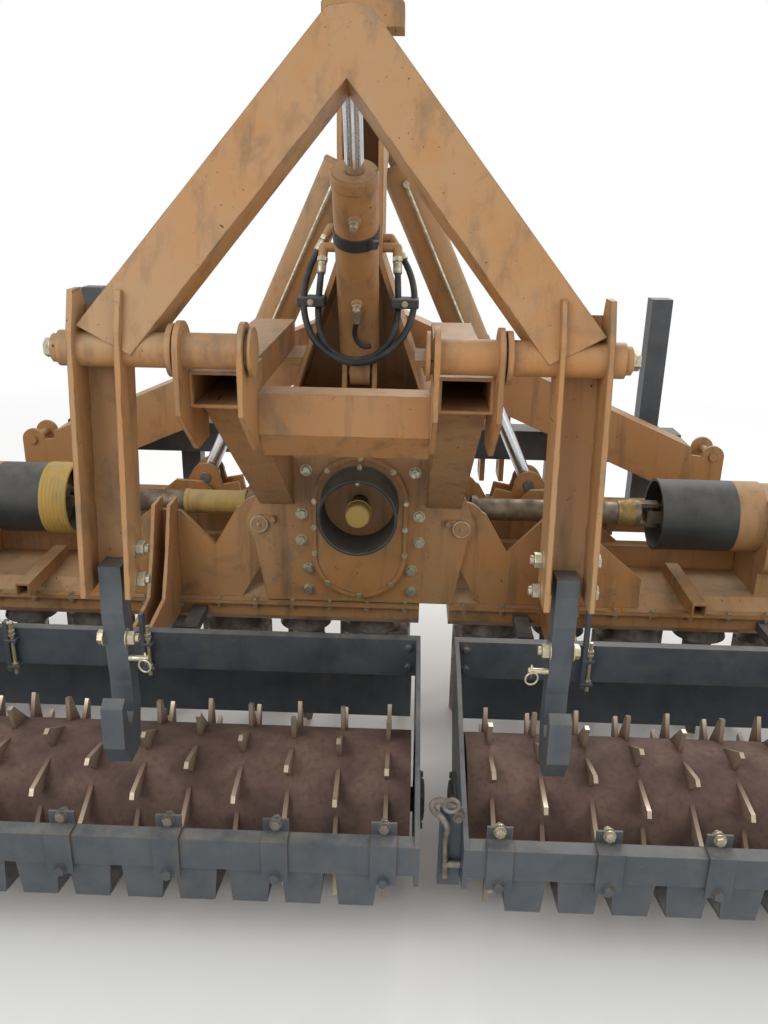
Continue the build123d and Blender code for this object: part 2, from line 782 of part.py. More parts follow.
def rear_frame():
    low = tube_z - tube_height / 2
    top = tube_z + tube_height / 2
    x = (tube_x - tube_width / 2, tube_x + tube_width / 2)
    tube = block(x, (-tube_rear, -tube_front), (low, top))
    tube -= block(
        (x[0] + tube_wall, x[1] - tube_wall), (-tube_rear, -tube_front - tube_wall),
        (low + tube_wall, top - tube_wall),
    )
    leg = across(
        shape([
            (-crossbeam_rear - 20, low), (-crossbeam_rear + 110, low),
            (-chassis_plate_outer, 1010), (-chassis_plate_outer, 850),
        ]),
        (x[0] + 5, x[1] - 5),
    )
    ear = shape([
        (-shaft_behind - ear_lobe, shaft_z), (-shaft_behind - ear_lobe, tube_z - 40),
        (-crossbeam_rear - 30, crossbeam_low + 40), (-crossbeam_rear + crossbeam_depth, crossbeam_low + 40),
        (-crossbeam_rear + crossbeam_depth, top), (-shaft_behind + ear_lobe, top),
        (-shaft_behind + ear_lobe, shaft_z),
    ])
    ear += disc((-shaft_behind, shaft_z), ear_lobe)
    ear -= disc((-shaft_behind, shaft_z), shaft_radius + pin_play)
    right = tube + leg
    right += across(ear, (x[0] - ear_plate, x[0]))
    right += across(ear, (x[1], x[1] + ear_plate))
    frame = both(right)
    beam = shape([
        (-crossbeam_rear, crossbeam_top), (-crossbeam_rear, crossbeam_low + crossbeam_chamfer),
        (-crossbeam_rear + crossbeam_chamfer, crossbeam_low),
        (-crossbeam_rear + crossbeam_depth, crossbeam_low),
        (-crossbeam_rear + crossbeam_depth, crossbeam_top),
    ])
    frame += across(beam, (-x[0] + ear_plate, x[0] - ear_plate))
    deck = block((-x[1], x[1]), (-tower_rear, -tube_front), (low - 20, low))
    deck -= along(tower_outline(0), (-tower_rear, -tower_front))
    return frame + deck


def tower():
    walls = along(tower_outline(0), (-tower_rear, -tower_front))
    walls -= along(tower_outline(tower_wall), (-tower_rear, -tower_front - tower_wall))
    half = tower_foot_half_width + 6
    y = (-tower_rear, chassis_plate_outer - chassis_plate)
    form = walls + block((-half, half), y, (tower_foot_z - foot_plate, tower_foot_z))
    # lugs of the lift cylinder's base
    base = shape([
        (-lift_base_behind - 80, tower_foot_z), (-lift_base_behind + 80, tower_foot_z),
        (-lift_base_behind + 45, lift_base_z), (-lift_base_behind - 45, lift_base_z),
    ])
    base += disc((-lift_base_behind, lift_base_z), 45)
    base -= disc((-lift_base_behind, lift_base_z), lift_pin_radius + pin_play)
    near = lift_eye_width / 2 + side_play
    form += both(across(base, (near, near + lift_lug_plate)))
    # ends of the hoses on the tower's sides
    for route in (hose_left_points, hose_right_points):
        for end, after in ((route[0], route[1]), (route[-1], route[-2])):
            side = 1 if end[0] > 0 else -1
            back = (Vector(*end) - Vector(*after)).normalized()
            bend = Vector(*end) + back * hose_elbow
            form += bar((side * tower_half_width, bend.Y, bend.Z), bend, hose_end_radius)
            form += bar(bend, end, hose_end_radius) + Pos(*bend) * Sphere(hose_end_radius)
    # head: arm forwards and the two plates that hold the fold cylinders
    half = tower_half_width
    eye_half = fold_eye_width / 2 + side_play
    rear_plate = (fold_plane - eye_half - head_plate, fold_plane - eye_half)
    front_plate = (fold_plane + eye_half, fold_plane + eye_half + head_plate)
    low = fold_top_z - 32
    arm = shape([
        (-tower_front, low - 80), (rear_plate[0], low), (rear_plate[0], tower_top), (-tower_front, tower_top),
    ])
    form += across(arm, (-half, half))
    cheek = shape([
        (-head_half_width, low), (head_half_width, low), (head_half_width, tower_top - 60),
        (head_half_width - 40, tower_top),
        (-head_half_width + 40, tower_top), (-head_half_width, tower_top - 60),
    ])
    for x in (-fold_top_x, fold_top_x):
        cheek -= disc((x, fold_top_z), fold_pin_radius + pin_play)
    form += along(cheek, rear_plate)
    form += along(cheek, front_plate)
    half = head_half_width - 40
    form += block((-half, half), (rear_plate[0], front_plate[1]), (tower_top - head_plate, tower_top))
    crown = shape([
        (-head_half_width, tower_top), (head_half_width, tower_top), (head_half_width, head_top - 40),
        (head_half_width - 30, head_top),
        (-head_half_width + 30, head_top), (-head_half_width, head_top - 40),
    ])
    form += along(crown, (-tower_rear + 60, -tower_front - 100))
    return form


def central_gearbox():
    inner = chassis_plate_outer - chassis_plate
    half = gearbox_half_width
    body = block((-half, half), (-inner, inner), (gearbox_step, gearbox_top))
    body += block((-half, half), (-inner, 90), (gearbox_low, gearbox_step))
    bell = bar((half, 0, hinge_z), (bell_reach, 0, hinge_z), bell_radius, bell_radius - guard_wall)
    stub_end = hinge_x - hypot(yoke_reach, yoke_radius) - run_play
    body += both(bell + bar((half, 0, hinge_z), (stub_end, 0, hinge_z), drive_stub_radius))
    outer = chassis_plate_outer

    def oval(radius):
        sides = Pos(0, (pto_z + cover_lower_z) / 2) * Rectangle(2 * radius, pto_z - cover_lower_z)
        return sides + disc((0, pto_z), radius) + disc((0, cover_lower_z), radius)

    cover = along(oval(cover_half_width), (-outer - cover_thick, -outer))
    cover -= along(oval(cover_half_width - cover_rim), (-outer - cover_thick, -outer - cover_thick + cover_recess))
    neck = bar((0, -outer, pto_z), (0, outer, pto_z), pto_neck_radius)
    bore = bar((0, -outer - cover_thick, pto_z), (0, outer, pto_z), pto_shaft_radius + shaft_play)
    return (body + cover + neck) - bore


def pto_guards():
    rear = chassis_plate_outer + cover_thick - cover_recess
    front = chassis_plate_outer
    outer = pto_guard_radius
    guard = bar((0, -rear - pto_guard_length, pto_z), (0, -rear, pto_z), outer, outer - guard_wall)
    guard += bar((0, front, pto_z), (0, front + pto_guard_length, pto_z), outer, outer - guard_wall)
    return guard


def pto_shaft():
    shoulder = pto_front_reach - pto_end_length
    shaft = bar((0, -pto_rear_reach, pto_z), (0, shoulder, pto_z), pto_shaft_radius)
    shaft += bar((0, shoulder, pto_z), (0, pto_front_reach, pto_z), pto_end_radius)
    cap = bar((0, -pto_rear_reach - 12, pto_z), (0, -pto_rear_reach + 50, pto_z), pto_cap_radius)
    return shaft + cap


def front_beam():
    end = front_beam_half
    fall = front_beam_drop * end
    top = front_beam_top
    tall = front_beam_height

    def outline(inset):
        far = end - inset
        drop = front_beam_drop * far
        high = top - inset * 1.1
        low = top - tall + inset * 1.1
        return shape([
            (0, high), (far, high - drop), (far, low - drop), (0, low), (-far, low - drop), (-far, high - drop),
        ])

    y = (front_beam_rear, front_beam_rear + front_beam_depth)
    beam = along(outline(0), y) - along(outline(tube_wall), (y[0] + tube_wall, y[1] - tube_wall))
    ear = shape([
        (end, top - fall - tall), (end, top - fall - 30), (clevis_x - clevis_lobe, clevis_z),
        (clevis_x + clevis_lobe, clevis_z),
        (clevis_x + clevis_lobe, clevis_z - 100), (clevis_x, top - fall - tall),
    ])
    ear += disc((clevis_x, clevis_z), clevis_lobe)
    pair = along(ear, (y[0], y[0] + clevis_plate)) + along(ear, (y[1] - clevis_plate, y[1]))
    pair += bar((clevis_x, y[0] - 10, clevis_z), (clevis_x, y[1] + 10, clevis_z), clevis_pin_radius)
    return beam + both(pair)


def front_toolbar():
    rear = front_beam_rear + front_beam_depth
    wall = tube_wall
    x = (toolbar_inner, front_beam_half)
    y = (rear, rear + toolbar_size)
    z = (toolbar_low, toolbar_low + toolbar_size)
    half = block(x, y, z)
    half -= block((x[0] + wall, x[1] - wall), (y[0] + wall, y[1] - wall), (z[0] + wall, z[1] - wall))
    for place in (lowered_x, raised_x):
        reach = eradicator_size / 2
        clamp = block(
            (place - reach - 20, place + reach + 20), (y[1], y[1] + eradicator_size + 20), (z[0] + 10, z[1] - 10),
        )
        clamp -= block((place - reach, place + reach), (y[1], y[1] + eradicator_size), z)
        half += clamp
    return both(half)


def eradicators():
    rear = front_beam_rear + front_beam_depth + toolbar_size
    half = eradicator_size / 2
    form = Part()
    for x, low in ((lowered_x, 240.0), (raised_x, 560.0)):
        high = low + 862
        shank = block((x - half, x + half), (rear, rear + eradicator_size), (low, high))
        point = across(
            shape([
                (rear, low), (rear + eradicator_size, low), (rear + 150, low - 150), (rear + 120, low - 160),
            ]),
            (x - half + 8, x + half - 8),
        )
        form += both(shank + point)
    return form


def hitch():
    beam_front = front_beam_rear + front_beam_depth
    bar_front = beam_front + toolbar_size
    low_top = toolbar_low + toolbar_size
    ear = shape([
        (beam_front, low_top), (beam_front, 1190),
        (beam_front + 80, 1190), (hitch_pin_ahead + 45, hitch_pin_z + 40),
        (hitch_pin_ahead + 45, hitch_pin_z - 45), (bar_front, hitch_pin_z - 45), (bar_front, low_top),
    ])
    ear -= disc((hitch_pin_ahead, hitch_pin_z), hitch_bore)
    near = hitch_x - hitch_gap / 2
    far = hitch_x + hitch_gap / 2
    form = both(across(ear, (near - hitch_plate, near)) + across(ear, (far, far + hitch_plate)))
    link = shape([
        (beam_front, 1240), (beam_front, 1380),
        (top_link_ahead, top_link_z + 42), (top_link_ahead, top_link_z - 42),
    ])
    link += disc((top_link_ahead, top_link_z), 42)
    link -= disc((top_link_ahead, top_link_z), top_link_bore)
    gap = top_link_gap / 2
    form += both(across(link, (gap, gap + hitch_plate)))
    return form


def hinge_pins():
    outer = chassis_plate_outer
    inner = outer - chassis_plate - plate_gap - wing_plate
    one = bar((hinge_x, inner - 5, hinge_z), (hinge_x, outer, hinge_z), hinge_pin_radius)
    one += bar((hinge_x, outer, hinge_z), (hinge_x, outer + pin_head_thick, hinge_z), pin_head_radius)
    collar = inner - 5 - pin_collar_thick
    one += bar((hinge_x, collar, hinge_z), (hinge_x, inner - 5, hinge_z), pin_collar_radius)
    front = both(one)
    return front + mirror(front, about=Plane.XZ)


keep("hinge_frame", hinge_frame())
keep("rear_frame", rear_frame())
keep("tower", tower())
keep("central_gearbox", central_gearbox())
keep("pto_guards", pto_guards())
keep("pto_shaft", pto_shaft())
keep("front_beam", front_beam())
keep("front_toolbar", front_toolbar())
keep("eradicators", eradicators())
keep("hitch", hitch())
keep("hinge_pins", hinge_pins())


# Cylinders

def cylinder_between(base, tip, width_axis, sizes):
    # barrel from its base pin, and the rod that reaches the tip's pin
    start, end = Vector(*base), Vector(*tip)
    line = (end - start).normalized()
    length = (end - start).length
    half = width_axis * (sizes["eye_width"] / 2)
    pin = width_axis * (sizes["eye_width"] / 2 + side_play + sizes["lug_plate"])
    barrel_end = start + line * sizes["barrel"]
    gland = start + line * (sizes["barrel"] - sizes["gland"])
    tube_start = start + line * sizes["neck"]
    floor = start + line * (sizes["neck"] + 16)
    eye = bar(start - half, start + half, sizes["eye_radius"])
    barrel = bar(tube_start, barrel_end, sizes["radius"])
    barrel -= bar(floor, gland, sizes["bore"])
    barrel -= bar(gland, barrel_end, sizes["rod"] + pin_play)
    barrel += bar(start, tube_start, sizes["rod"] + 2)
    barrel += eye + bar(start - pin, start + pin, sizes["pin"])
    rod_start = start + line * (sizes["barrel"] - sizes["inside"])
    rod_end = start + line * (length - sizes["eye_radius"] + 6)
    rod = bar(rod_start, rod_end, sizes["rod"])
    rod += bar(rod_start, rod_start + line * 22, sizes["bore"] - pin_play)
    rod += bar(end - half, end + half, sizes["eye_radius"])
    boss = width_axis * (sizes["eye_width"] / 2 + side_play - 0.3)
    rod += bar(end - boss, end + boss, sizes["pin"] + 6)
    return barrel, rod


fold_sizes = {
    "eye_width": fold_eye_width, "eye_radius": fold_eye_radius, "pin": fold_pin_radius,
    "lug_plate": head_plate, "radius": fold_barrel_radius, "bore": fold_bore_radius,
    "barrel": fold_barrel_length, "gland": gland_length, "rod": fold_rod_radius,
    "inside": fold_rod_inside, "neck": fold_neck,
}
fold_base = (fold_top_x, fold_plane, fold_top_z)
fold_tip = (lug_x, fold_plane, lug_z)
fold_barrel, fold_rod = cylinder_between(fold_base, fold_tip, Vector(0, 1, 0), fold_sizes)
keep("fold_barrel_right", fold_barrel)
keep("fold_rod_right", fold_rod)
keep("fold_barrel_left", mirrored(fold_barrel))
keep("fold_rod_left", mirrored(fold_rod))

frame_lean = atan2(apex_forward, apex_z - shaft_z)
lift_pin_behind = shaft_behind - lift_pin_up * sin(frame_lean) - lift_pin_ahead * cos(frame_lean)
lift_pin_z = shaft_z + lift_pin_up * cos(frame_lean) - lift_pin_ahead * sin(frame_lean)
lift_sizes = {
    "eye_width": lift_eye_width, "eye_radius": lift_eye_radius, "pin": lift_pin_radius,
    "lug_plate": lift_lug_plate, "radius": lift_barrel_radius, "bore": lift_bore_radius,
    "barrel": lift_barrel_length, "gland": lift_gland, "rod": lift_rod_radius,
    "inside": lift_rod_inside, "neck": lift_neck,
}
lift_base = (0, -lift_base_behind, lift_base_z)
lift_tip = (0, -lift_pin_behind, lift_pin_z)
lift_barrel, lift_rod = cylinder_between(lift_base, lift_tip, Vector(1, 0, 0), lift_sizes)
keep("lift_barrel", lift_barrel)
keep("lift_rod", lift_rod)


# Drill lift

def lift_shaft():
    y = -shaft_behind
    stub = bar((shaft_inner, y, shaft_z), (shaft_outer, y, shaft_z), shaft_radius)
    collar_start = tube_x + tube_width / 2 + ear_plate + run_play
    stub += bar((collar_start, y, shaft_z), (collar_start + 12, y, shaft_z), 56)
    stub += bar((shaft_outer, y, shaft_z), (shaft_outer + 14, y, shaft_z), 30)
    stub += bar((shaft_inner - 8, y, shaft_z), (shaft_inner, y, shaft_z), 52)
    return both(stub)


def lift_frame():
    lean = frame_lean
    normal = (0, -cos(lean), sin(lean))
    plane = Plane(origin=(0, -shaft_behind, shaft_z), x_dir=(1, 0, 0), z_dir=normal)
    top = hypot(apex_forward, apex_z - shaft_z)
    leg = shape([
        (0, top - 156), (430, -20), (470, 0), (arm_x + 40, 40), (45, top - 6), (0, top),
    ])
    a_face = leg + mirror(leg, about=Plane.YZ)
    frame = extrude(plane.offset(-leg_depth / 2) * a_face, leg_depth, dir=plane.z_dir)
    # lugs below the apex for the lift cylinder's rod
    near = lift_eye_width / 2 + side_play
    u = Vector(0, sin(lean), cos(lean))
    n = Vector(*normal)
    origin = Vector(0, -shaft_behind, shaft_z)

    def spot(up, ahead):
        point = origin + u * up - n * ahead
        return (point.Y, point.Z)

    lug = shape([
        spot(top - 200, leg_depth / 2), spot(top - 40, leg_depth / 2),
        spot(lift_pin_up + 42, lift_pin_ahead), spot(lift_pin_up - 42, lift_pin_ahead),
    ])
    lug += disc(spot(lift_pin_up, lift_pin_ahead), 42)
    frame += both(across(lug, (near, near + lift_lug_plate)))
    # upright arms, open channels whose web faces forwards
    slope = tan(radians(arm_lean))

    def line(z, ahead):
        return (-shaft_behind - (shaft_z - z) * slope + ahead, z)

    half = arm_depth / 2
    side = shape([line(arm_low, -half), line(arm_low, half), line(arm_top - 60, half), line(arm_top, half - 30),
                  line(arm_top, -half + 20), line(arm_top - 80, -half)])
    room = shape([line(arm_low, -half - 20), line(arm_low, half - arm_wall), line(arm_top + 50, half - arm_wall),
                  line(arm_top + 50, -half - 40)])
    x = (arm_x - arm_width / 2, arm_x + arm_width / 2)
    arm = across(side, x) - across(room, (x[0] + arm_wall, x[1] - arm_wall))
    frame += both(arm)
    y = -shaft_behind
    return frame - both(bar((shaft_inner, y, shaft_z), (shaft_outer, y, shaft_z), shaft_radius))


def hook_bars():
    slope = tan(radians(arm_lean))
    y_top = -shaft_behind - (shaft_z - hook_top) * slope
    y_low = -shaft_behind - (shaft_z - arm_low) * slope
    half = hook_bar_width / 2
    room = arm_depth / 2 - arm_wall
    outline = shape([
        (y_top - 20, hook_top), (y_top + room, hook_top), (y_low + room, arm_low), (y_low + room, 760),
        (y_low + room + 10, 640), (y_low + room - 20, hook_low), (y_low - 50, hook_low),
        (y_low - 88, 590), (y_low - 82, 690), (y_low - 58, 705), (y_low - 50, 640), (y_low - 28, 622),
        (y_low - 8, 640), (y_low - 4, 720), (y_low - 20, 900), (y_top - 20, arm_low + 20),
    ])
    return both(across(outline, (arm_x - half, arm_x + half)))


keep("lift_shaft", lift_shaft())
keep("lift_frame", lift_frame())
keep("hook_bars", hook_bars())


# Hoses

def hose(points, radius, bends):
    path = FilletPolyline(*points, radius=bends)
    print("hose of", round(path.length), "mm, bends of", [round(bend) for bend in bends], "mm")
    return sweep(Plane(origin=path @ 0, z_dir=path % 0) * Circle(radius), path=path)


def hose_bends(points):
    # each arc takes 0.45 of the shorter of its two runs
    bends = []
    for number in range(1, len(points) - 1):
        before = Vector(*points[number]) - Vector(*points[number - 1])
        after = Vector(*points[number + 1]) - Vector(*points[number])
        half_turn = radians(before.get_angle(after)) / 2
        bends.append(0.45 * min(before.length, after.length) / tan(half_turn))
    return bends


keep("hose_left", hose(hose_left_points, hose_radius, hose_bends(hose_left_points)))
keep("hose_right", hose(hose_right_points, hose_radius, hose_bends(hose_right_points)))


# Everything is moved so that the machine's box is centred on Y = 0.

boxes = [form.bounding_box() for form in nodes.values()]
rear_end = min(box.min.Y for box in boxes)
front_end = max(box.max.Y for box in boxes)
rotor_line_y = -(rear_end + front_end) / 2
print("rotor line at Y", round(rotor_line_y, 3))
for axis in "XYZ":
    low = min(getattr(box.min, axis) for box in boxes)
    high = max(getattr(box.max, axis) for box in boxes)
    print(axis, round(low, 3), round(high, 3))

os.makedirs("parts", exist_ok=True)
for name, form in nodes.items():
    export_step(Pos(0, rotor_line_y, 0) * form, f"parts/{name}.step")
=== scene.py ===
import json
import math
from random import Random

import bmesh
import bpy
from mathutils import Matrix, Vector


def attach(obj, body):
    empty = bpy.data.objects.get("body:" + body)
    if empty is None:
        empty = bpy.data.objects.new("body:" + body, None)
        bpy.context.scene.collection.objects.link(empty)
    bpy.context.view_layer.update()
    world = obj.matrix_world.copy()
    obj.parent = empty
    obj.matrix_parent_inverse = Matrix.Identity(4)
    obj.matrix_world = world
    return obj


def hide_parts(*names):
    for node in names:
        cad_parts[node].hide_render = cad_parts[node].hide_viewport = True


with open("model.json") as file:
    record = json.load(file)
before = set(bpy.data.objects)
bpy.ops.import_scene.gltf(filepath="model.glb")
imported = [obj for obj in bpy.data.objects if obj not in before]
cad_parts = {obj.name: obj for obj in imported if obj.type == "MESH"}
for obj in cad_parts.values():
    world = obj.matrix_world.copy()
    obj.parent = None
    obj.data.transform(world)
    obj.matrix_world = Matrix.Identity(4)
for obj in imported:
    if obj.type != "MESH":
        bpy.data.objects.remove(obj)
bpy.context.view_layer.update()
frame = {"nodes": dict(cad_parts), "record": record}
nodes = frame["nodes"]
scene = bpy.context.scene
scene.view_settings.view_transform = "Standard"
mm = 0.001
rotorLineY = 0.1795   # the rotors' line in the machine's frame
sides = {"left": -1, "right": 1}
innerEnd = {"left": -200, "right": 300}   # of beds and roller frames, outwards from the middle
outerEnd = 2591
hingeZ = 785   # fold pins and wing shafts
rollerAxis = (-865, 250)   # y and z


def place(x, y, z):   # millimetres, y measured from the rotors' line
    return Vector((x * mm, y * mm + rotorLineY, z * mm))


# Camera: a tall phone picture taken from behind at eye level, tipped down
photo = {
    "heightPx": 1024,
    "focalPx": 880,
    "sensorMm": 36,
    "standsAt": (146, -2850, 1796),
    "yawDeg": 1.5,     # to the left of straight ahead
    "pitchDeg": 19.9,  # downwards
    "rollDeg": 1.1,
}


def makeCamera():
    data = bpy.data.cameras.new("camera")
    data.sensor_width = photo["sensorMm"]
    data.lens = photo["focalPx"] / photo["heightPx"] * photo["sensorMm"]
    data.clip_end = 60
    camera = bpy.data.objects.new("camera", data)
    scene.collection.objects.link(camera)
    turn = Matrix.Rotation(math.radians(photo["yawDeg"]), 4, "Z")
    tip = Matrix.Rotation(math.radians(90 - photo["pitchDeg"]), 4, "X")
    roll = Matrix.Rotation(math.radians(photo["rollDeg"]), 4, "Z")
    camera.matrix_world = Matrix.Translation(place(*photo["standsAt"])) @ turn @ tip @ roll
    scene.camera = camera


makeCamera()
print("camera ready")


# Colours and nodes
def toLinear(hexColour):
    channels = [int(hexColour[i:i + 2], 16) / 255 for i in (1, 3, 5)]
    return tuple(c / 12.92 if c <= 0.04045 else ((c + 0.055) / 1.055) ** 2.4 for c in channels) + (1.0,)


# Sockets go by name or by number: in Map Range, 1 and 2 are the range it reads and 3 and 4 the range it
# gives, and in Mix, 6 and 7 are the two colours
def addNode(tree, kind, settings=None, links=None):
    node = tree.nodes.new(kind)
    for name, value in (settings or {}).items():
        if isinstance(name, str) and hasattr(node, name):
            setattr(node, name, value)
        else:
            node.inputs[name].default_value = value
    for socket, source in (links or {}).items():
        tree.links.new(source, node.inputs[socket])
    return node


def newMaterial(name):
    material = bpy.data.materials.new(name)
    material.use_nodes = True
    tree = material.node_tree
    tree.nodes.clear()
    shader = addNode(tree, "ShaderNodeBsdfPrincipled")
    addNode(tree, "ShaderNodeOutputMaterial", links={"Surface": shader.outputs[0]})
    return material, tree, shader


def perMetre(sizeMm):   # noise scale whose blotches are about this wide
    return 1000 / sizeMm


# Studio: pale floor, white surroundings for the camera, soft lights
studio = {
    "floorHalf": 24, "floorHex": "#F3F2EF", "floorRough": 0.9, "fadeFrom": 2.6, "fadeTo": 6.5,
    "worldHex": "#F4F6F8", "worldStrength": 0.75, "aimAt": (0, 0, 0.8),
    "lamps": [
        {"name": "keyLamp", "at": (-3.2, -4.4, 4.6), "size": 3.5, "watts": 150},
        {"name": "fillLamp", "at": (4.2, -3.4, 3.2), "size": 3.5, "watts": 60},
        {"name": "rimLamp", "at": (1.5, 4.2, 4.8), "size": 3.0, "watts": 170},
    ],
}
plainWhite = (1, 1, 1, 1)


def makeFloor():
    bm = bmesh.new()
    bmesh.ops.create_grid(bm, x_segments=1, y_segments=1, size=studio["floorHalf"])
    mesh = bpy.data.meshes.new("floor")
    bm.to_mesh(mesh)
    bm.free()
    floor = bpy.data.objects.new("floor", mesh)
    scene.collection.objects.link(floor)
    material, tree, shader = newMaterial("paleFloor")
    shader.inputs["Base Color"].default_value = toLinear(studio["floorHex"])
    shader.inputs["Roughness"].default_value = studio["floorRough"]
    # away from the machine the camera sees the floor fade to white
    coords = addNode(tree, "ShaderNodeTexCoord")
    away = addNode(tree, "ShaderNodeVectorMath", {"operation": "LENGTH"}, {0: coords.outputs["Object"]})
    fade = {1: studio["fadeFrom"], 2: studio["fadeTo"]}
    far = addNode(tree, "ShaderNodeMapRange", fade, {0: away.outputs["Value"]})
    rays = addNode(tree, "ShaderNodeLightPath")
    share = addNode(
        tree, "ShaderNodeMath", {"operation": "MULTIPLY"},
        {0: far.outputs[0], 1: rays.outputs["Is Camera Ray"]},
    )
    glow = addNode(tree, "ShaderNodeEmission", {"Color": plainWhite, "Strength": 1.0})
    both = addNode(
        tree, "ShaderNodeMixShader", links={0: share.outputs[0], 1: shader.outputs[0], 2: glow.outputs[0]}
    )
    ending = next(node for node in tree.nodes if node.type == "OUTPUT_MATERIAL")
    tree.links.new(both.outputs[0], ending.inputs["Surface"])
    mesh.materials.append(material)


def makeWorld():
    world = bpy.data.worlds.new("studio")
    scene.world = world
    world.use_nodes = True
    tree = world.node_tree
    tree.nodes.clear()
    rays = addNode(tree, "ShaderNodeLightPath")
    clear = addNode(
        tree, "ShaderNodeMath", {"operation": "MAXIMUM"},
        {0: rays.outputs["Is Glossy Ray"], 1: rays.outputs["Is Transmission Ray"]},
    )
    seen = addNode(
        tree, "ShaderNodeMath", {"operation": "MAXIMUM"},
        {0: rays.outputs["Is Camera Ray"], 1: clear.outputs[0]},
    )
    soft = addNode(
        tree, "ShaderNodeBackground",
        {"Color": toLinear(studio["worldHex"]), "Strength": studio["worldStrength"]},
    )
    white = addNode(tree, "ShaderNodeBackground", {"Color": plainWhite, "Strength": 1.0})
    both = addNode(
        tree, "ShaderNodeMixShader", links={0: seen.outputs[0], 1: soft.outputs[0], 2: white.outputs[0]}
    )
    addNode(tree, "ShaderNodeOutputWorld", links={"Surface": both.outputs[0]})


def makeLamps():
    for lamp in studio["lamps"]:
        data = bpy.data.lights.new(lamp["name"], "AREA")
        data.size = lamp["size"]
        data.energy = lamp["watts"]
        light = bpy.data.objects.new(lamp["name"], data)
        scene.collection.objects.link(light)
        light.location = lamp["at"]
        aim = Vector(studio["aimAt"]) - light.location
        light.rotation_euler = aim.to_track_quat("-Z", "Y").to_euler()


makeFloor()
makeWorld()
makeLamps()
print("studio ready")


# Patches of one colour over another: their width, and the stretch of noise over which they come in
patches = {
    "fade": {"mm": 420, "detail": 5, "from": 0.38, "to": 0.62},
    "grime": {"mm": 45, "detail": 6, "rough": 0.62, "from": 0.52, "to": 0.74},
    "stain": {"mm": 160, "detail": 9, "rough": 0.68, "twist": 0.4, "from": 0.54, "to": 0.66},
    "drumLight": {"mm": 120, "detail": 8, "rough": 0.62, "from": 0.38, "to": 0.64},
    "drumSoil": {"mm": 16, "detail": 5, "from": 0.5, "to": 0.72},
    "hoseDust": {"mm": 50, "detail": 6, "from": 0.45, "to": 0.7},
}


def addPatches(tree, spot, below, above, look, most=1.0):   # below is a hex value or an earlier mix
    noise = addNode(
        tree, "ShaderNodeTexNoise",
        {
            "Scale": perMetre(look["mm"]), "Detail": look["detail"], "Roughness": look.get("rough", 0.5),
            "Distortion": look.get("twist", 0.0),
        },
        {"Vector": spot},
    )
    stretch = {1: look["from"], 2: look["to"], 4: most}
    mask = addNode(tree, "ShaderNodeMapRange", stretch, {0: noise.outputs[0]})
    settings = {"data_type": "RGBA", 7: toLinear(above)}
    links = {0: mask.outputs[0]}
    if isinstance(below, str):
        settings[6] = toLinear(below)
    else:
        links[6] = below.outputs[2]
    return noise, mask, addNode(tree, "ShaderNodeMix", settings, links)


# Coated finishes. Enamel brushed on steel: a soft gloss, sun-faded, with dust on top and scratches down to
# rusty steel. Guards of moulded polyethylene: duller, hardly scratched.
coats = {
    "orangeEnamel": {
        # fresh and faded are the paint's own orange made darker and duller part way: partly the paint's
        # colour, partly painted shade over all of it
        "fresh": "#A8733F", "faded": "#A47C52", "grime": "#5E4631", "dust": "#A39274", "bare": "#4A392C",
        "stain": "#5C5042", "stainAmount": 0.6,
        "rough": 0.46, "dustAmount": 0.6, "grimeAmount": 0.72, "wear": 0.62, "specular": 0.42,
    },
    "darkEnamel": {
        # fresh and faded are darker than the paint's own dark grey: partly the paint's colour, partly painted
        # shade over all of it
        "fresh": "#2F363E", "faded": "#3C444D", "grime": "#222427", "dust": "#7C7A73", "bare": "#6A5140",
        "stain": "#544C42", "stainAmount": 0.35,
        "rough": 0.42, "dustAmount": 0.8, "grimeAmount": 0.4, "wear": 0.45, "specular": 0.5,
    },
    "yellowGuard": {
        "fresh": "#B08C3C", "faded": "#A88F56", "grime": "#6A5630", "dust": "#A39673", "bare": "#8C7A4A",
        "stain": "#6B6046", "stainAmount": 0.4,
        "rough": 0.6, "dustAmount": 0.6, "grimeAmount": 0.5, "wear": 0.2, "specular": 0.35,
    },
    "blackGuard": {
        "fresh": "#1E2022", "faded": "#33373A", "grime": "#131313", "dust": "#77736A", "bare": "#3C3C3C",
        "stain": "#4A453C", "stainAmount": 0.3,
        "rough": 0.5, "dustAmount": 0.6, "grimeAmount": 0.3, "wear": 0.2, "specular": 0.4,
    },
}
# scratches are drawn coarser than real ones, so that they show
coatMm = {"dust": 70, "scratch": 9, "scratchedPlace": 180, "chip": 55, "edge": 5, "ripple": 9, "step": 0.6}
dullRough = 0.86   # of dust and bare spots


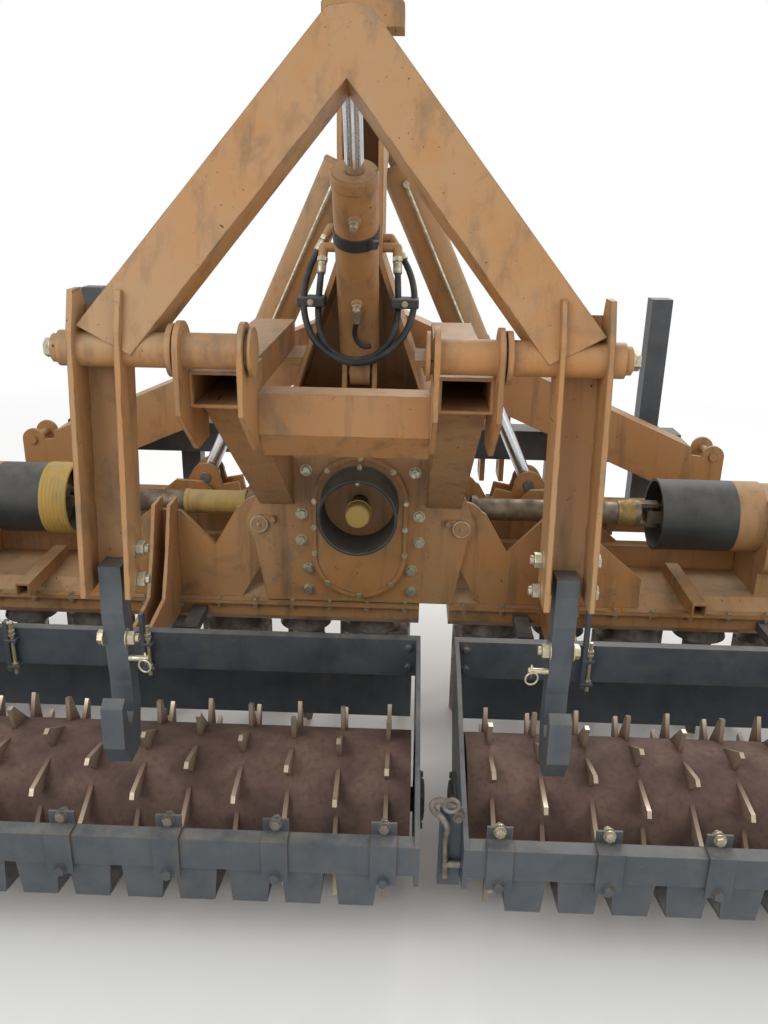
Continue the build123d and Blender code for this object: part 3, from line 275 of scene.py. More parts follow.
def wornMask(tree, spot, wear, blotches):   # scratches, chips and rubbed edges of a coat
    slant = addNode(
        tree, "ShaderNodeMapping", {"Rotation": (0.5, 0.7, 0.4), "Scale": (1, 0.06, 1)}, {"Vector": spot}
    )
    lines = addNode(
        tree, "ShaderNodeTexNoise", {"Scale": perMetre(coatMm["scratch"]), "Detail": 2.0},
        {"Vector": slant.outputs[0]},
    )
    where = addNode(
        tree, "ShaderNodeTexNoise", {"Scale": perMetre(coatMm["scratchedPlace"]), "Detail": 3.0},
        {"Vector": spot},
    )
    lineMask = addNode(tree, "ShaderNodeMapRange", {1: 0.70, 2: 0.73}, {0: lines.outputs[0]})
    whereMask = addNode(tree, "ShaderNodeMapRange", {1: 0.48, 2: 0.6}, {0: where.outputs[0]})
    scratch = addNode(
        tree, "ShaderNodeMath", {"operation": "MULTIPLY"}, {0: lineMask.outputs[0], 1: whereMask.outputs[0]}
    )
    chips = addNode(
        tree, "ShaderNodeTexNoise", {"Scale": perMetre(coatMm["chip"]), "Detail": 7.0, "Roughness": 0.7},
        {"Vector": spot},
    )
    chipMask = addNode(
        tree, "ShaderNodeMapRange", {1: 0.73 - 0.08 * wear, 2: 0.75 - 0.07 * wear}, {0: chips.outputs[0]}
    )
    # an edge is where the rounded normal leaves the true one
    rounded = addNode(tree, "ShaderNodeBevel", {"samples": 4, "Radius": coatMm["edge"] * mm})
    geometry = addNode(tree, "ShaderNodeNewGeometry")
    apart = addNode(
        tree, "ShaderNodeVectorMath", {"operation": "DOT_PRODUCT"},
        {0: rounded.outputs[0], 1: geometry.outputs["Normal"]},
    )
    edge = addNode(tree, "ShaderNodeMapRange", {1: 0.985, 2: 0.86}, {0: apart.outputs["Value"]})
    rubbed = addNode(tree, "ShaderNodeMapRange", {1: 0.42, 2: 0.6, 4: wear * 1.6}, {0: blotches.outputs[0]})
    edgeMask = addNode(
        tree, "ShaderNodeMath", {"operation": "MULTIPLY", "use_clamp": True},
        {0: edge.outputs[0], 1: rubbed.outputs[0]},
    )
    worn = scratch
    for mask in (chipMask, edgeMask):
        both = {0: worn.outputs[0], 1: mask.outputs[0]}
        worn = addNode(tree, "ShaderNodeMath", {"operation": "MAXIMUM"}, both)
    return worn


def coatMaterial(name, facts):
    material, tree, shader = newMaterial(name)
    coords = addNode(tree, "ShaderNodeTexCoord")
    spot = coords.outputs["Object"]
    up = addNode(tree, "ShaderNodeSeparateXYZ", links={0: coords.outputs["Normal"]})

    # sun fade, grime that has run ten times as far as it is wide, and smears a hand or two wide
    colour = addPatches(tree, spot, facts["fresh"], facts["faded"], patches["fade"])[2]
    runs = addNode(tree, "ShaderNodeMapping", {"Scale": (1, 1, 0.1)}, {"Vector": spot})
    colour = addPatches(
        tree, runs.outputs[0], colour, facts["grime"], patches["grime"], facts["grimeAmount"]
    )[2]
    colour = addPatches(tree, spot, colour, facts["stain"], patches["stain"], facts["stainAmount"])[2]

    # dust that lies in blotches on what faces up, and a thin veil of it everywhere
    blotches = addNode(
        tree, "ShaderNodeTexNoise", {"Scale": perMetre(coatMm["dust"]), "Detail": 8.0, "Roughness": 0.65},
        {"Vector": spot},
    )
    lying = addNode(tree, "ShaderNodeMapRange", {1: -0.1, 2: 0.95, 3: 0.18, 4: 1.0}, {0: up.outputs["Z"]})
    veil = addNode(
        tree, "ShaderNodeMapRange", {1: 0.3, 2: 0.68, 3: 0.1, 4: facts["dustAmount"]},
        {0: blotches.outputs[0]},
    )
    dust = addNode(
        tree, "ShaderNodeMath", {"operation": "MULTIPLY"}, {0: lying.outputs[0], 1: veil.outputs[0]}
    )
    worn = wornMask(tree, spot, facts["wear"], blotches)
    for mask, tone in ((dust, facts["dust"]), (worn, facts["bare"])):
        colour = addNode(
            tree, "ShaderNodeMix", {"data_type": "RGBA", 7: toLinear(tone)},
            {0: mask.outputs[0], 6: colour.outputs[2]},
        )
    tree.links.new(colour.outputs[2], shader.inputs["Base Color"])

    dull = addNode(tree, "ShaderNodeMath", {"operation": "MAXIMUM"}, {0: dust.outputs[0], 1: worn.outputs[0]})
    rough = addNode(tree, "ShaderNodeMapRange", {3: facts["rough"], 4: dullRough}, {0: dull.outputs[0]})
    tree.links.new(rough.outputs[0], shader.inputs["Roughness"])
    shader.inputs["Specular IOR Level"].default_value = facts["specular"]

    # bump: ripples of the brushed coat, and the step down into bare spots
    ripple = addNode(
        tree, "ShaderNodeTexNoise", {"Scale": perMetre(coatMm["ripple"]), "Detail": 3.0}, {"Vector": spot}
    )
    height = addNode(
        tree, "ShaderNodeMath", {"operation": "MULTIPLY_ADD", 1: -0.9},
        {0: worn.outputs[0], 2: ripple.outputs[0]},
    )
    bump = addNode(
        tree, "ShaderNodeBump", {"Strength": 0.22, "Distance": coatMm["step"] * mm},
        {"Height": height.outputs[0]},
    )
    tree.links.new(bump.outputs[0], shader.inputs["Normal"])
    return material


# Bare metals: forged tines stay dark and rough, zinc plate is pale and yellowish, greased shafts hold brown
# soil, brass is dull gold, and hard chrome mirrors the room
metals = {
    "forgedSteel": {
        "clean": "#8E8880", "soiled": "#4E4136", "rough": 0.42, "metallic": 0.75, "soil": 0.65, "patchMm": 45,
    },
    "zincSteel": {
        "clean": "#C6BEA6", "soiled": "#6E6047", "rough": 0.36, "metallic": 1.0, "soil": 0.45, "patchMm": 14,
    },
    "greasedSteel": {
        "clean": "#7E705C", "soiled": "#453628", "rough": 0.42, "metallic": 0.55, "soil": 0.8, "patchMm": 60,
    },
    "brassSleeve": {
        "clean": "#9C8450", "soiled": "#5E4A2A", "rough": 0.45, "metallic": 0.7, "soil": 0.55, "patchMm": 30,
    },
    "chromedRod": {
        "clean": "#D4D6D8", "soiled": "#8F8A80", "rough": 0.12, "metallic": 1.0, "soil": 0.25, "patchMm": 90,
    },
}
metalGrainMm = 4
soiledRough = 0.8
soiledShine = 0.35   # of the clean metal's


def metalMaterial(name, facts):
    material, tree, shader = newMaterial(name)
    spot = addNode(tree, "ShaderNodeTexCoord").outputs["Object"]
    look = {"mm": facts["patchMm"], "detail": 7, "rough": 0.6, "from": 0.38, "to": 0.62}
    _, soil, colour = addPatches(tree, spot, facts["clean"], facts["soiled"], look, facts["soil"])
    tree.links.new(colour.outputs[2], shader.inputs["Base Color"])
    shine = {3: facts["metallic"], 4: facts["metallic"] * soiledShine}
    for ends, socket in ((shine, "Metallic"), ({3: facts["rough"], 4: soiledRough}, "Roughness")):
        value = addNode(tree, "ShaderNodeMapRange", ends, {0: soil.outputs[0]})
        tree.links.new(value.outputs[0], shader.inputs[socket])
    grain = addNode(
        tree, "ShaderNodeTexNoise", {"Scale": perMetre(metalGrainMm), "Detail": 3.0}, {"Vector": spot}
    )
    rise = {"Strength": 0.15, "Distance": 0.4 * mm}
    bump = addNode(tree, "ShaderNodeBump", rise, {"Height": grain.outputs[0]})
    tree.links.new(bump.outputs[0], shader.inputs["Normal"])
    return material


# Packer roller of rolled steel: a soil-stained, matt drum, teeth polished by the ground towards their tips
rollerFinish = {
    "drumMm": 183, "tipMm": 250, "tipShine": 0.7, "matt": 0.82, "polished": 0.34,
    "drum": "#4F3B33", "drumLight": "#6C5548", "soil": "#3F302A", "soilAmount": 0.5,
    "tooth": "#6B5242", "tip": "#B0A08C",
}


def rollerMaterial(name, facts):
    material, tree, shader = newMaterial(name)
    spot = addNode(tree, "ShaderNodeTexCoord").outputs["Object"]
    # distance from the roller's axis tells drum from tooth
    axis = place(0, *rollerAxis)
    centred = addNode(tree, "ShaderNodeMapping", {"Location": (0, -axis.y, -axis.z)}, {"Vector": spot})
    flat = addNode(tree, "ShaderNodeMapping", {"Scale": (0, 1, 1)}, {"Vector": centred.outputs[0]})
    radius = addNode(tree, "ShaderNodeVectorMath", {"operation": "LENGTH"}, {0: flat.outputs[0]})
    drumMm = facts["drumMm"]
    toothShare = addNode(
        tree, "ShaderNodeMapRange", {1: (drumMm + 3) * mm, 2: facts["tipMm"] * mm},
        {0: radius.outputs["Value"]},
    )
    onTooth = addNode(
        tree, "ShaderNodeMapRange", {1: (drumMm + 1) * mm, 2: (drumMm + 4) * mm},
        {0: radius.outputs["Value"]},
    )
    drum = addPatches(tree, spot, facts["drum"], facts["drumLight"], patches["drumLight"])[2]
    specks, _, drum = addPatches(tree, spot, drum, facts["soil"], patches["drumSoil"], facts["soilAmount"])
    tooth = addNode(
        tree, "ShaderNodeMix", {"data_type": "RGBA", 6: toLinear(facts["tooth"]), 7: toLinear(facts["tip"])},
        {0: toothShare.outputs[0]},
    )
    colour = addNode(
        tree, "ShaderNodeMix", {"data_type": "RGBA"},
        {0: onTooth.outputs[0], 6: drum.outputs[2], 7: tooth.outputs[2]},
    )
    tree.links.new(colour.outputs[2], shader.inputs["Base Color"])
    shine = addNode(
        tree, "ShaderNodeMath", {"operation": "MULTIPLY", 1: facts["tipShine"]}, {0: toothShare.outputs[0]}
    )
    tree.links.new(shine.outputs[0], shader.inputs["Metallic"])
    rough = addNode(
        tree, "ShaderNodeMapRange", {3: facts["matt"], 4: facts["polished"]}, {0: toothShare.outputs[0]}
    )
    tree.links.new(rough.outputs[0], shader.inputs["Roughness"])
    rise = {"Strength": 0.5, "Distance": 1.2 * mm}
    bump = addNode(tree, "ShaderNodeBump", rise, {"Height": specks.outputs[0]})
    tree.links.new(bump.outputs[0], shader.inputs["Normal"])
    return material


# Hose cover of synthetic rubber, wrapped in cloth while it cured: matt, with a fine weave pressed in
rubberFinish = {
    "fresh": "#1B1C1D", "dusty": "#57534B", "dustAmount": 0.6, "rough": 0.55,
    "weaveMm": 3,   # coarser than the real weave, so that it shows
}


def rubberMaterial(name, facts):
    material, tree, shader = newMaterial(name)
    spot = addNode(tree, "ShaderNodeTexCoord").outputs["Object"]
    colour = addPatches(
        tree, spot, facts["fresh"], facts["dusty"], patches["hoseDust"], facts["dustAmount"]
    )[2]
    tree.links.new(colour.outputs[2], shader.inputs["Base Color"])
    shader.inputs["Roughness"].default_value = facts["rough"]
    weave = addNode(
        tree, "ShaderNodeTexNoise", {"Scale": perMetre(facts["weaveMm"]), "Detail": 1.0}, {"Vector": spot}
    )
    rise = {"Strength": 0.3, "Distance": 0.3 * mm}
    bump = addNode(tree, "ShaderNodeBump", rise, {"Height": weave.outputs[0]})
    tree.links.new(bump.outputs[0], shader.inputs["Normal"])
    return material


finishes = {name: coatMaterial(name, facts) for name, facts in coats.items()}
finishes.update({name: metalMaterial(name, facts) for name, facts in metals.items()})
finishes["rollerSteel"] = rollerMaterial("rollerSteel", rollerFinish)
finishes["hoseRubber"] = rubberMaterial("hoseRubber", rubberFinish)

# the record's slot for each finish; the last finish of a slot dresses the frame's own nodes
slotOf = {
    "orangeEnamel": "orange_paint", "darkEnamel": "dark_paint", "yellowGuard": "guard_plastic",
    "blackGuard": "guard_plastic", "rollerSteel": "drum_steel", "forgedSteel": "worn_steel",
    "brassSleeve": "shaft_steel", "greasedSteel": "shaft_steel", "zincSteel": "zinc_steel",
    "chromedRod": "rod_chrome", "hoseRubber": "hose_rubber",
}
finishOfSlot = {slot: finish for finish, slot in slotOf.items()}


def dressNodes():
    for part in frame["record"]["subparts"]:
        node = nodes[part["node"]]
        node.data.materials.clear()
        node.data.materials.append(finishes[finishOfSlot[part["material_slot"]]])


dressNodes()
print("frame dressed")


def keepObject(name, data, body, finish):
    data.materials.append(finishes[finish])
    piece = bpy.data.objects.new(name, data)
    scene.collection.objects.link(piece)
    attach(piece, body)
    return piece


def keepPiece(bm, name, body, finish, smooth=False):
    bmesh.ops.recalc_face_normals(bm, faces=bm.faces)
    mesh = bpy.data.meshes.new(name)
    bm.to_mesh(mesh)
    bm.free()
    for face in mesh.polygons:
        face.use_smooth = smooth
    keepObject(name, mesh, body, finish)


def keepTube(name, body, route, radiusMm, finish, roundness=4, steps=12):   # a tube along a smooth spline
    data = bpy.data.curves.new(name + "_line", "CURVE")
    data.dimensions = "3D"
    data.bevel_depth = radiusMm * mm
    data.bevel_resolution = roundness
    data.resolution_u = steps
    data.use_fill_caps = True
    spline = data.splines.new("NURBS")
    spline.points.add(len(route) - 1)
    for point, spot in zip(spline.points, route):
        point.co = (*place(*spot), 1)
    spline.order_u = 3
    spline.use_endpoint_u = True
    return keepObject(name, data, body, finish)


# Hoses: the routes of the part's own tubes, as smooth splines
hoses = {
    "diameterMm": 18,
    "left": {
        "lengthMm": 704,
        "route": [
            (-104, -330, 1617), (-107, -350, 1575), (-109, -378, 1531), (-109, -410, 1489),
            (-103, -441, 1449), (-86, -466, 1410), (-50, -482, 1381), (0, -488, 1370), (50, -482, 1382),
            (87, -464, 1412), (105, -437, 1451), (110, -405, 1492), (109, -373, 1535), (106, -345, 1577),
            (104, -324, 1619),
        ],
    },
    "right": {
        "lengthMm": 920,
        "route": [
            (-104, -285, 1670), (-125, -303, 1633), (-142, -332, 1591), (-150, -373, 1547),
            (-148, -417, 1501), (-133, -459, 1454), (-103, -492, 1412), (-58, -513, 1381), (-2, -521, 1368),
            (54, -514, 1378), (102, -495, 1407), (134, -464, 1446), (151, -424, 1489), (155, -380, 1532),
            (146, -338, 1575), (128, -306, 1614), (104, -285, 1648),
        ],
    },
}


def makeHose(side):
    route = hoses[side]["route"]
    radius = hoses["diameterMm"] / 2
    piece = keepTube("rubber_hose_" + side, "chassis", route, radius, "hoseRubber", roundness=6, steps=10)
    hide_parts("hose_" + side)


for side in sides:
    makeHose(side)
print("hoses made")


# Fasteners and small forms, made of operators and joined into one mesh for each group, hung on its body.
# Below, a disc is a row of addDisc's numbers in its order, and an outline holds (radius, height) points. All
# are millimetres.
shares = {   # of the thread's diameter
    "washer": 1.08, "flats": 1.5, "head": 0.64, "nut": 0.84, "thread": 0.45, "chamfer": 0.07,
}
washerMm = 2.5
spins = Random(4)
rearward, forward, upward, downward = (0, -1, 0), (0, 1, 0), (0, 0, 1), (0, 0, -1)


def level(at):   # a frame at a spot, square to the machine
    return Matrix.Translation(place(*at))


def turned(at, out, spinDeg=0.0):   # a frame at a spot whose Z points along out
    aim = Vector(out).to_track_quat("Z", "Y").to_matrix().to_4x4()
    return level(at) @ aim @ Matrix.Rotation(math.radians(spinDeg), 4, "Z")


def edgesOf(verts):   # each edge once, in an order that is the same each run
    return list(dict.fromkeys(edge for vert in verts for edge in vert.link_edges))


def bevelEdges(bm, edges, bevelMm):
    bmesh.ops.bevel(
        bm, geom=edges, offset=bevelMm * mm, segments=2, profile=0.5, affect="EDGES", material=-1,
        clamp_overlap=True,
    )


def addDisc(bm, seat, radiusMm, lowMm, highMm, segments=24, bevelMm=0.0, topMm=None):
    middle = Matrix.Translation((0, 0, (lowMm + highMm) / 2 * mm))
    made = bmesh.ops.create_cone(
        bm, cap_ends=True, segments=segments, radius1=radiusMm * mm, radius2=(topMm or radiusMm) * mm,
        depth=(highMm - lowMm) * mm, matrix=seat @ middle,
    )
    if bevelMm > 0:
        rims = [e for e in edgesOf(made["verts"]) if any(len(face.verts) > 4 for face in e.link_faces)]
        bevelEdges(bm, rims, bevelMm)


def addDiscs(bm, seat, discs):
    for disc in discs:
        addDisc(bm, seat, *disc)


def addPlate(bm, seat, sizeMm, bevelMm=2.0):
    size = Matrix.Diagonal((*(edge * mm for edge in sizeMm), 1))
    made = bmesh.ops.create_cube(bm, size=1.0, matrix=seat @ size)
    bevelEdges(bm, edgesOf(made["verts"]), bevelMm)


def spinRound(bm, seat, geometry, steps):   # once round the seat's Z
    bmesh.ops.spin(
        bm, geom=geometry, cent=seat.translation, axis=seat.to_3x3() @ Vector((0, 0, 1)), angle=math.tau,
        steps=steps, use_merge=True, use_duplicate=False,
    )


def addRing(bm, seat, ringMm, wireMm, steps=28):   # of round wire
    start = seat @ Matrix.Translation((ringMm * mm, 0, 0)) @ Matrix.Rotation(math.radians(90), 4, "X")
    made = bmesh.ops.create_circle(bm, cap_ends=False, segments=10, radius=wireMm * mm, matrix=start)
    spinRound(bm, seat, made["verts"] + edgesOf(made["verts"]), steps)


def addTurned(bm, seat, outline, steps=40):
    verts = [bm.verts.new(seat @ Vector((radius * mm, 0, high * mm))) for radius, high in outline]
    edges = [bm.edges.new((verts[i], verts[(i + 1) % len(verts)])) for i in range(len(verts))]
    spinRound(bm, seat, verts + edges, steps)


def addFastener(bm, at, out, threadMm, kind="head"):
    seat = turned(at, out, spins.uniform(0, 60))
    addDisc(bm, seat, threadMm * shares["washer"], 0, washerMm, 20)
    top = washerMm + threadMm * shares[kind]
    chamfer = threadMm * shares["chamfer"]
    addDisc(bm, seat, threadMm * shares["flats"] / math.sqrt(3), washerMm, top, 6, chamfer)
    if kind == "nut":   # the thread's end stands out of it
        addDisc(bm, seat, threadMm / 2, top, top + threadMm * shares["thread"], 14, chamfer)


def keepFasteners(name, body, rows, finish="zincSteel"):
    bm = bmesh.new()
    for row in rows:
        addFastener(bm, *row)
    keepPiece(bm, name, body, finish)


# Chassis: bolts of the gearbox plate, in pairs left and right, and round its oval cover
chassisBolts = {
    "plateY": -190, "plateThread": 18, "plate": [(173, 967), (190, 820), (192, 730), (170, 630), (171, 555)],
    "coverY": -215, "coverThread": 9, "coverRadius": 146, "coverTopZ": 871, "coverLowZ": 693, "coverSteps": 5,
}


def makeChassisBolts():
    facts = chassisBolts
    radius, coverY, thread = facts["coverRadius"], facts["coverY"], facts["coverThread"]
    topZ, lowZ = facts["coverTopZ"], facts["coverLowZ"]
    rows = []
    for sign in sides.values():
        for x, z in facts["plate"]:
            rows.append(((sign * x, facts["plateY"], z), rearward, facts["plateThread"]))
        rows.append(((sign * radius, coverY, (topZ + lowZ) / 2), rearward, thread))
    for middle, start in ((topZ, 0), (lowZ, 180)):
        for step in range(facts["coverSteps"]):
            turn = math.radians(start + step * 180 / (facts["coverSteps"] - 1))
            spot = (radius * math.cos(turn), coverY, middle + radius * math.sin(turn))
            rows.append((spot, rearward, thread))
    keepFasteners("chassis_bolts", "chassis", rows)


# Drive shaft end behind: yellow cap, and the lip and clamp ring of the black guard
rearDrive = {
    "z": 871, "capY": -298, "cap": [(37, 0, 54, 40, 7), (40, 0, 7, 40, 2)],
    "rings": [(-361, 117), (-227, 120)], "wireMm": 5,   # each ring's y and radius
}


def makeRearDrive():
    facts = rearDrive
    bm = bmesh.new()
    addDiscs(bm, turned((0, facts["capY"], facts["z"]), rearward), facts["cap"])
    keepPiece(bm, "shaft_end_cap", "pto_shaft", "yellowGuard", smooth=True)
    bm = bmesh.new()
    for y, radius in facts["rings"]:
        addRing(bm, turned((0, y, facts["z"]), rearward), radius, facts["wireMm"], steps=56)
    keepPiece(bm, "guard_lips", "chassis", "blackGuard", smooth=True)


# Fold pins: a tab and its bolt keep each pin from turning, and a flat lid lies on each end
foldPins = {
    "x": 327, "faceY": 190, "headMm": 14, "lidMm": 3, "lidRadius": 24,
    "tabMm": (52, 8, 22), "tabIn": 30, "boltIn": 44, "above": 16, "thread": 12,
}


def makeFoldPinTabs():
    facts = foldPins
    x, y, deep = facts["x"], facts["faceY"], facts["tabMm"][1]
    tabZ = hingeZ + facts["above"]
    bm = bmesh.new()
    for sign in sides.values():
        for way in (-1, 1):
            tab = (sign * (x - facts["tabIn"]), way * (y + deep / 2), tabZ)
            addPlate(bm, level(tab), facts["tabMm"])
            bolt = (sign * (x - facts["boltIn"]), way * (y + deep), tabZ)
            addFastener(bm, bolt, (0, way, 0), facts["thread"])
            head = turned((sign * x, way * (y + facts["headMm"]), hingeZ), (0, way, 0))
            addDisc(bm, head, facts["lidRadius"], 0, facts["lidMm"], 32, 1.2)
    keepPiece(bm, "fold_pin_tabs", "chassis", "orangeEnamel")


# Lift arms: bolts that hold the hook bars, bolts in the shaft's ends, and the linch pins of the hooks
liftArms = {
    "armX": 505, "thread": 20, "boltY": -1066, "leanFrom": 975, "lean": 0.12,
    "bolts": [(1045, 55), (975, 55), (835, 25)],   # z, and half of what the bolt holds together
    "shaftEnd": (604, -1010, 1478), "shaftThread": 24,
    "pinAt": (480, -1082, 782), "pin": (7, 0, 46, 16, 1), "stem": (2.6, -14, 16, 12),
    "ringIn": 38, "ringBack": 9, "ringRadius": 15, "wireMm": 2.4,
}


def makeLiftArms():
    facts = liftArms
    rows = []
    for sign in sides.values():
        for z, half in facts["bolts"]:
            y = facts["boltY"] + (z - facts["leanFrom"]) * facts["lean"]
            outer = (sign * (facts["armX"] + half), y, z)
            inner = (sign * (facts["armX"] - half), y, z)
            rows.append((outer, (sign, 0, 0), facts["thread"]))
            rows.append((inner, (-sign, 0, 0), facts["thread"], "nut"))
        x, y, z = facts["shaftEnd"]
        rows.append(((sign * x, y, z), (sign, 0, 0), facts["shaftThread"]))
    keepFasteners("lift_arm_bolts", "drill_lift", rows)
    bm = bmesh.new()
    x, y, z = facts["pinAt"]
    for sign in sides.values():
        addDisc(bm, turned((sign * x, y, z), (-sign, 0, 0)), *facts["pin"])
        ringX = sign * (x - facts["ringIn"])
        ring = (ringX, y - facts["ringBack"], z - facts["ringRadius"])
        addRing(bm, turned(ring, (0.25 * sign, -1, 0)), facts["ringRadius"], facts["wireMm"])
        addDisc(bm, turned((ringX, y, z), downward), *facts["stem"])
    keepPiece(bm, "hook_linch_pins", "drill_lift", "zincSteel", smooth=True)


# Straps of the scraper beams: a bolt through each upright tab and each foot, with a nut in front
straps = {
    "left": {"first": -117, "count": 11, "tabFinish": "forgedSteel"},
    "right": {"first": 383, "count": 9, "tabFinish": "zincSteel"},
    "pitch": 250, "strapMm": 6, "thread": 14, "tab": (-1194, 424), "foot": (-1234, 305),   # y and z
}


def makeStrapBolts(side):
    facts, row = straps, straps[side]
    kinds = (("strap_bolts_", "tab", row["tabFinish"]), ("strap_foot_bolts_", "foot", "darkEnamel"))
    for name, kind, finish in kinds:
        y, z = facts[kind]
        rows = []
        for number in range(row["count"]):
            x = sides[side] * (row["first"] + number * facts["pitch"])
            rows.append(((x, y, z), rearward, facts["thread"]))
            rows.append(((x, y + facts["strapMm"], z), forward, facts["thread"], "nut"))
        keepFasteners(name + side, "wing_" + side, rows, finish)


# Beds: bolts along both flanges and on the side gearbox's lid, and a breather on the cover
beds = {
    "flangeY": 186, "topZ": 506, "lowZ": 492, "endGap": 50, "pitch": 125, "thread": 10,
    "boxX": 1455, "lidZ": 894, "lidRadius": 56, "lidBolts": 6, "lidTurnDeg": 20, "lidThread": 12,
    "breatherAt": (1780, -20, 540), "breather": [(22, 0, 8, 6, 1.5), (12, 8, 22, 20), (19, 22, 40, 24, 3)],
}


def makeBedBolts(side):
    facts = beds
    sign = sides[side]
    first = innerEnd[side] + facts["endGap"]
    rows = []
    for number in range((outerEnd - facts["endGap"] - first) // facts["pitch"] + 1):
        x = sign * (first + number * facts["pitch"])
        for way in (-1, 1):
            rows.append(((x, way * facts["flangeY"], facts["topZ"]), upward, facts["thread"]))
            rows.append(((x, way * facts["flangeY"], facts["lowZ"]), downward, facts["thread"], "nut"))
    for number in range(facts["lidBolts"]):
        turn = math.radians(number * 360 / facts["lidBolts"] + facts["lidTurnDeg"])
        x = sign * facts["boxX"] + facts["lidRadius"] * math.cos(turn)
        rows.append(((x, facts["lidRadius"] * math.sin(turn), facts["lidZ"]), upward, facts["lidThread"]))
    keepFasteners("bed_bolts_" + side, "wing_" + side, rows)
    bm = bmesh.new()
    x, y, z = facts["breatherAt"]
    addDiscs(bm, turned((sign * x, y, z), upward), facts["breather"])
    keepPiece(bm, "breather_" + side, "wing_" + side, "zincSteel")


# Roller frames: round-headed bolts at the beam's ends, bearing housings on the side plates
rollerFrames = {
    "beamY": -560, "beamBoltsZ": [545, 482], "endInset": 34, "beamBolt": [(15, 0, 3), (13, 3, 9, 24, 2, 8)],
    "housing": [(34, 0), (78, 0), (78, 7), (58, 9), (52, 16), (36, 18), (34, 16)],   # open round the stub
    "bolt": (9, 7, 14, 6, 1), "boltCircle": 67, "boltTurns": (45, 135, 225, 315),
}


def makeRollerFrameDetails(side):
    facts = rollerFrames
    sign = sides[side]
    bm = bmesh.new()
    for x in (innerEnd[side] + facts["endInset"], outerEnd - facts["endInset"]):
        for z in facts["beamBoltsZ"]:
            addDiscs(bm, turned((sign * x, facts["beamY"], z), rearward), facts["beamBolt"])
    keepPiece(bm, "beam_end_bolts_" + side, "wing_" + side, "darkEnamel")
    bm = bmesh.new()
    out = Matrix.Translation((facts["boltCircle"] * mm, 0, 0))
    for face, way in ((innerEnd[side], -1), (outerEnd, 1)):
        seat = turned((sign * face, *rollerAxis), (sign * way, 0, 0))
        addTurned(bm, seat, facts["housing"])
        for turn in facts["boltTurns"]:
            addDisc(bm, seat @ Matrix.Rotation(math.radians(turn), 4, "Z") @ out, *facts["bolt"])
    keepPiece(bm, "roller_bearings_" + side, "wing_" + side, "darkEnamel")


# Depth spindles: threaded rods beside dark uprights on the roller beam, with nuts, and a crank on the far
# left one
spindles = {
    "y": -576, "radius": 5.5, "pitchMm": 4, "groove": (1, 0.4), "crestMm": 0.9,
    "nut": (10.5, 9), "nutsAt": [30, -46, -34],   # radius and height; below zero counts from the top
    "crankBelow": 4, "crankArm": (6, -8, 92, 14, 2), "gripAt": 86, "grip": (9, 0, 66, 18, 4),
    "beamFaceY": -560, "uprightMm": (13, 24), "uprightAside": 15, "uprightUp": 10,
    "earMm": (36, 26, 9), "earAside": 4, "earY": -572, "earUp": 24, "earBelow": 60, "bevelMm": 1.5,
    "rows": [
        {"name": "inner", "side": "left", "x": -598, "rod": (436, 600), "uprightTop": 640, "crank": False},
        {"name": "outer", "side": "left", "x": -1002, "rod": (426, 598), "uprightTop": 600, "crank": True},
        {"name": "inner", "side": "right", "x": 692, "rod": (430, 590), "uprightTop": 690, "crank": False},
    ],
}


def makeSpindle(row):
    facts = spindles
    bm = bmesh.new()
    low, high = row["rod"]
    tall = high - low
    seat = turned((row["x"], facts["y"], low), upward)
    radius, pitch = facts["radius"], facts["pitchMm"]
    addDisc(bm, seat, radius, 0, tall, 16, 1)
    below, above = facts["groove"]
    for number in range(tall // pitch):   # one flared disc for each turn of the thread
        base = number * pitch
        addDisc(bm, seat, radius, base + below, base + pitch - above, 16, 0.0, radius + facts["crestMm"])
    nutRadius, nutMm = facts["nut"]
    for at in facts["nutsAt"]:
        addDisc(bm, seat, nutRadius, at % tall, at % tall + nutMm, 6, 1)
    if row["crank"]:
        top = seat @ Matrix.Translation((0, 0, (tall - facts["crankBelow"]) * mm))
        addDisc(bm, top @ Matrix.Rotation(math.radians(90), 4, "Y"), *facts["crankArm"])
        addDisc(bm, top @ Matrix.Translation((facts["gripAt"] * mm, 0, 0)), *facts["grip"])
    name = f"{row['side']}_{row['name']}"
    keepPiece(bm, "depth_spindle_" + name, "wing_" + row["side"], "zincSteel")
    bm = bmesh.new()
    across, deep = facts["uprightMm"]
    foot, top = low + facts["uprightUp"], row["uprightTop"]
    middle = (row["x"] - facts["uprightAside"], facts["beamFaceY"] - deep / 2, (foot + top) / 2)
    addPlate(bm, level(middle), (across, deep, top - foot), facts["bevelMm"])
    for z in (low + facts["earUp"], high - facts["earBelow"]):   # ears that the rod passes through
        ear = (row["x"] - facts["earAside"], facts["earY"], z)
        addPlate(bm, level(ear), facts["earMm"], facts["bevelMm"])
    keepPiece(bm, "spindle_upright_" + name, "wing_" + row["side"], "darkEnamel")


# Lock handle on the right wing's inner side plate: a bent bar that runs up the plate and curls over at its
# top, where a loop hangs on it, and the plate that it lies against, welded to the side plate
lockHandle = {
    "radius": 8,
    "route": [
        (264, -1162, 262), (262, -1162, 320), (260, -1166, 380), (266, -1170, 410), (250, -1170, 440),
        (228, -1170, 458), (224, -1170, 478), (242, -1170, 488), (266, -1170, 484), (280, -1170, 474),
    ],
    "loopAt": (270, -1176, 478), "loopRadius": 17, "wireMm": 5,
    "stubAt": (300, -1162, 300), "stub": (9, 0, 40, 20, 2),
    "plateAt": (273, -1147, 340), "plateMm": (54, 10, 224), "nutIn": (12, 16), "thread": 16,
}


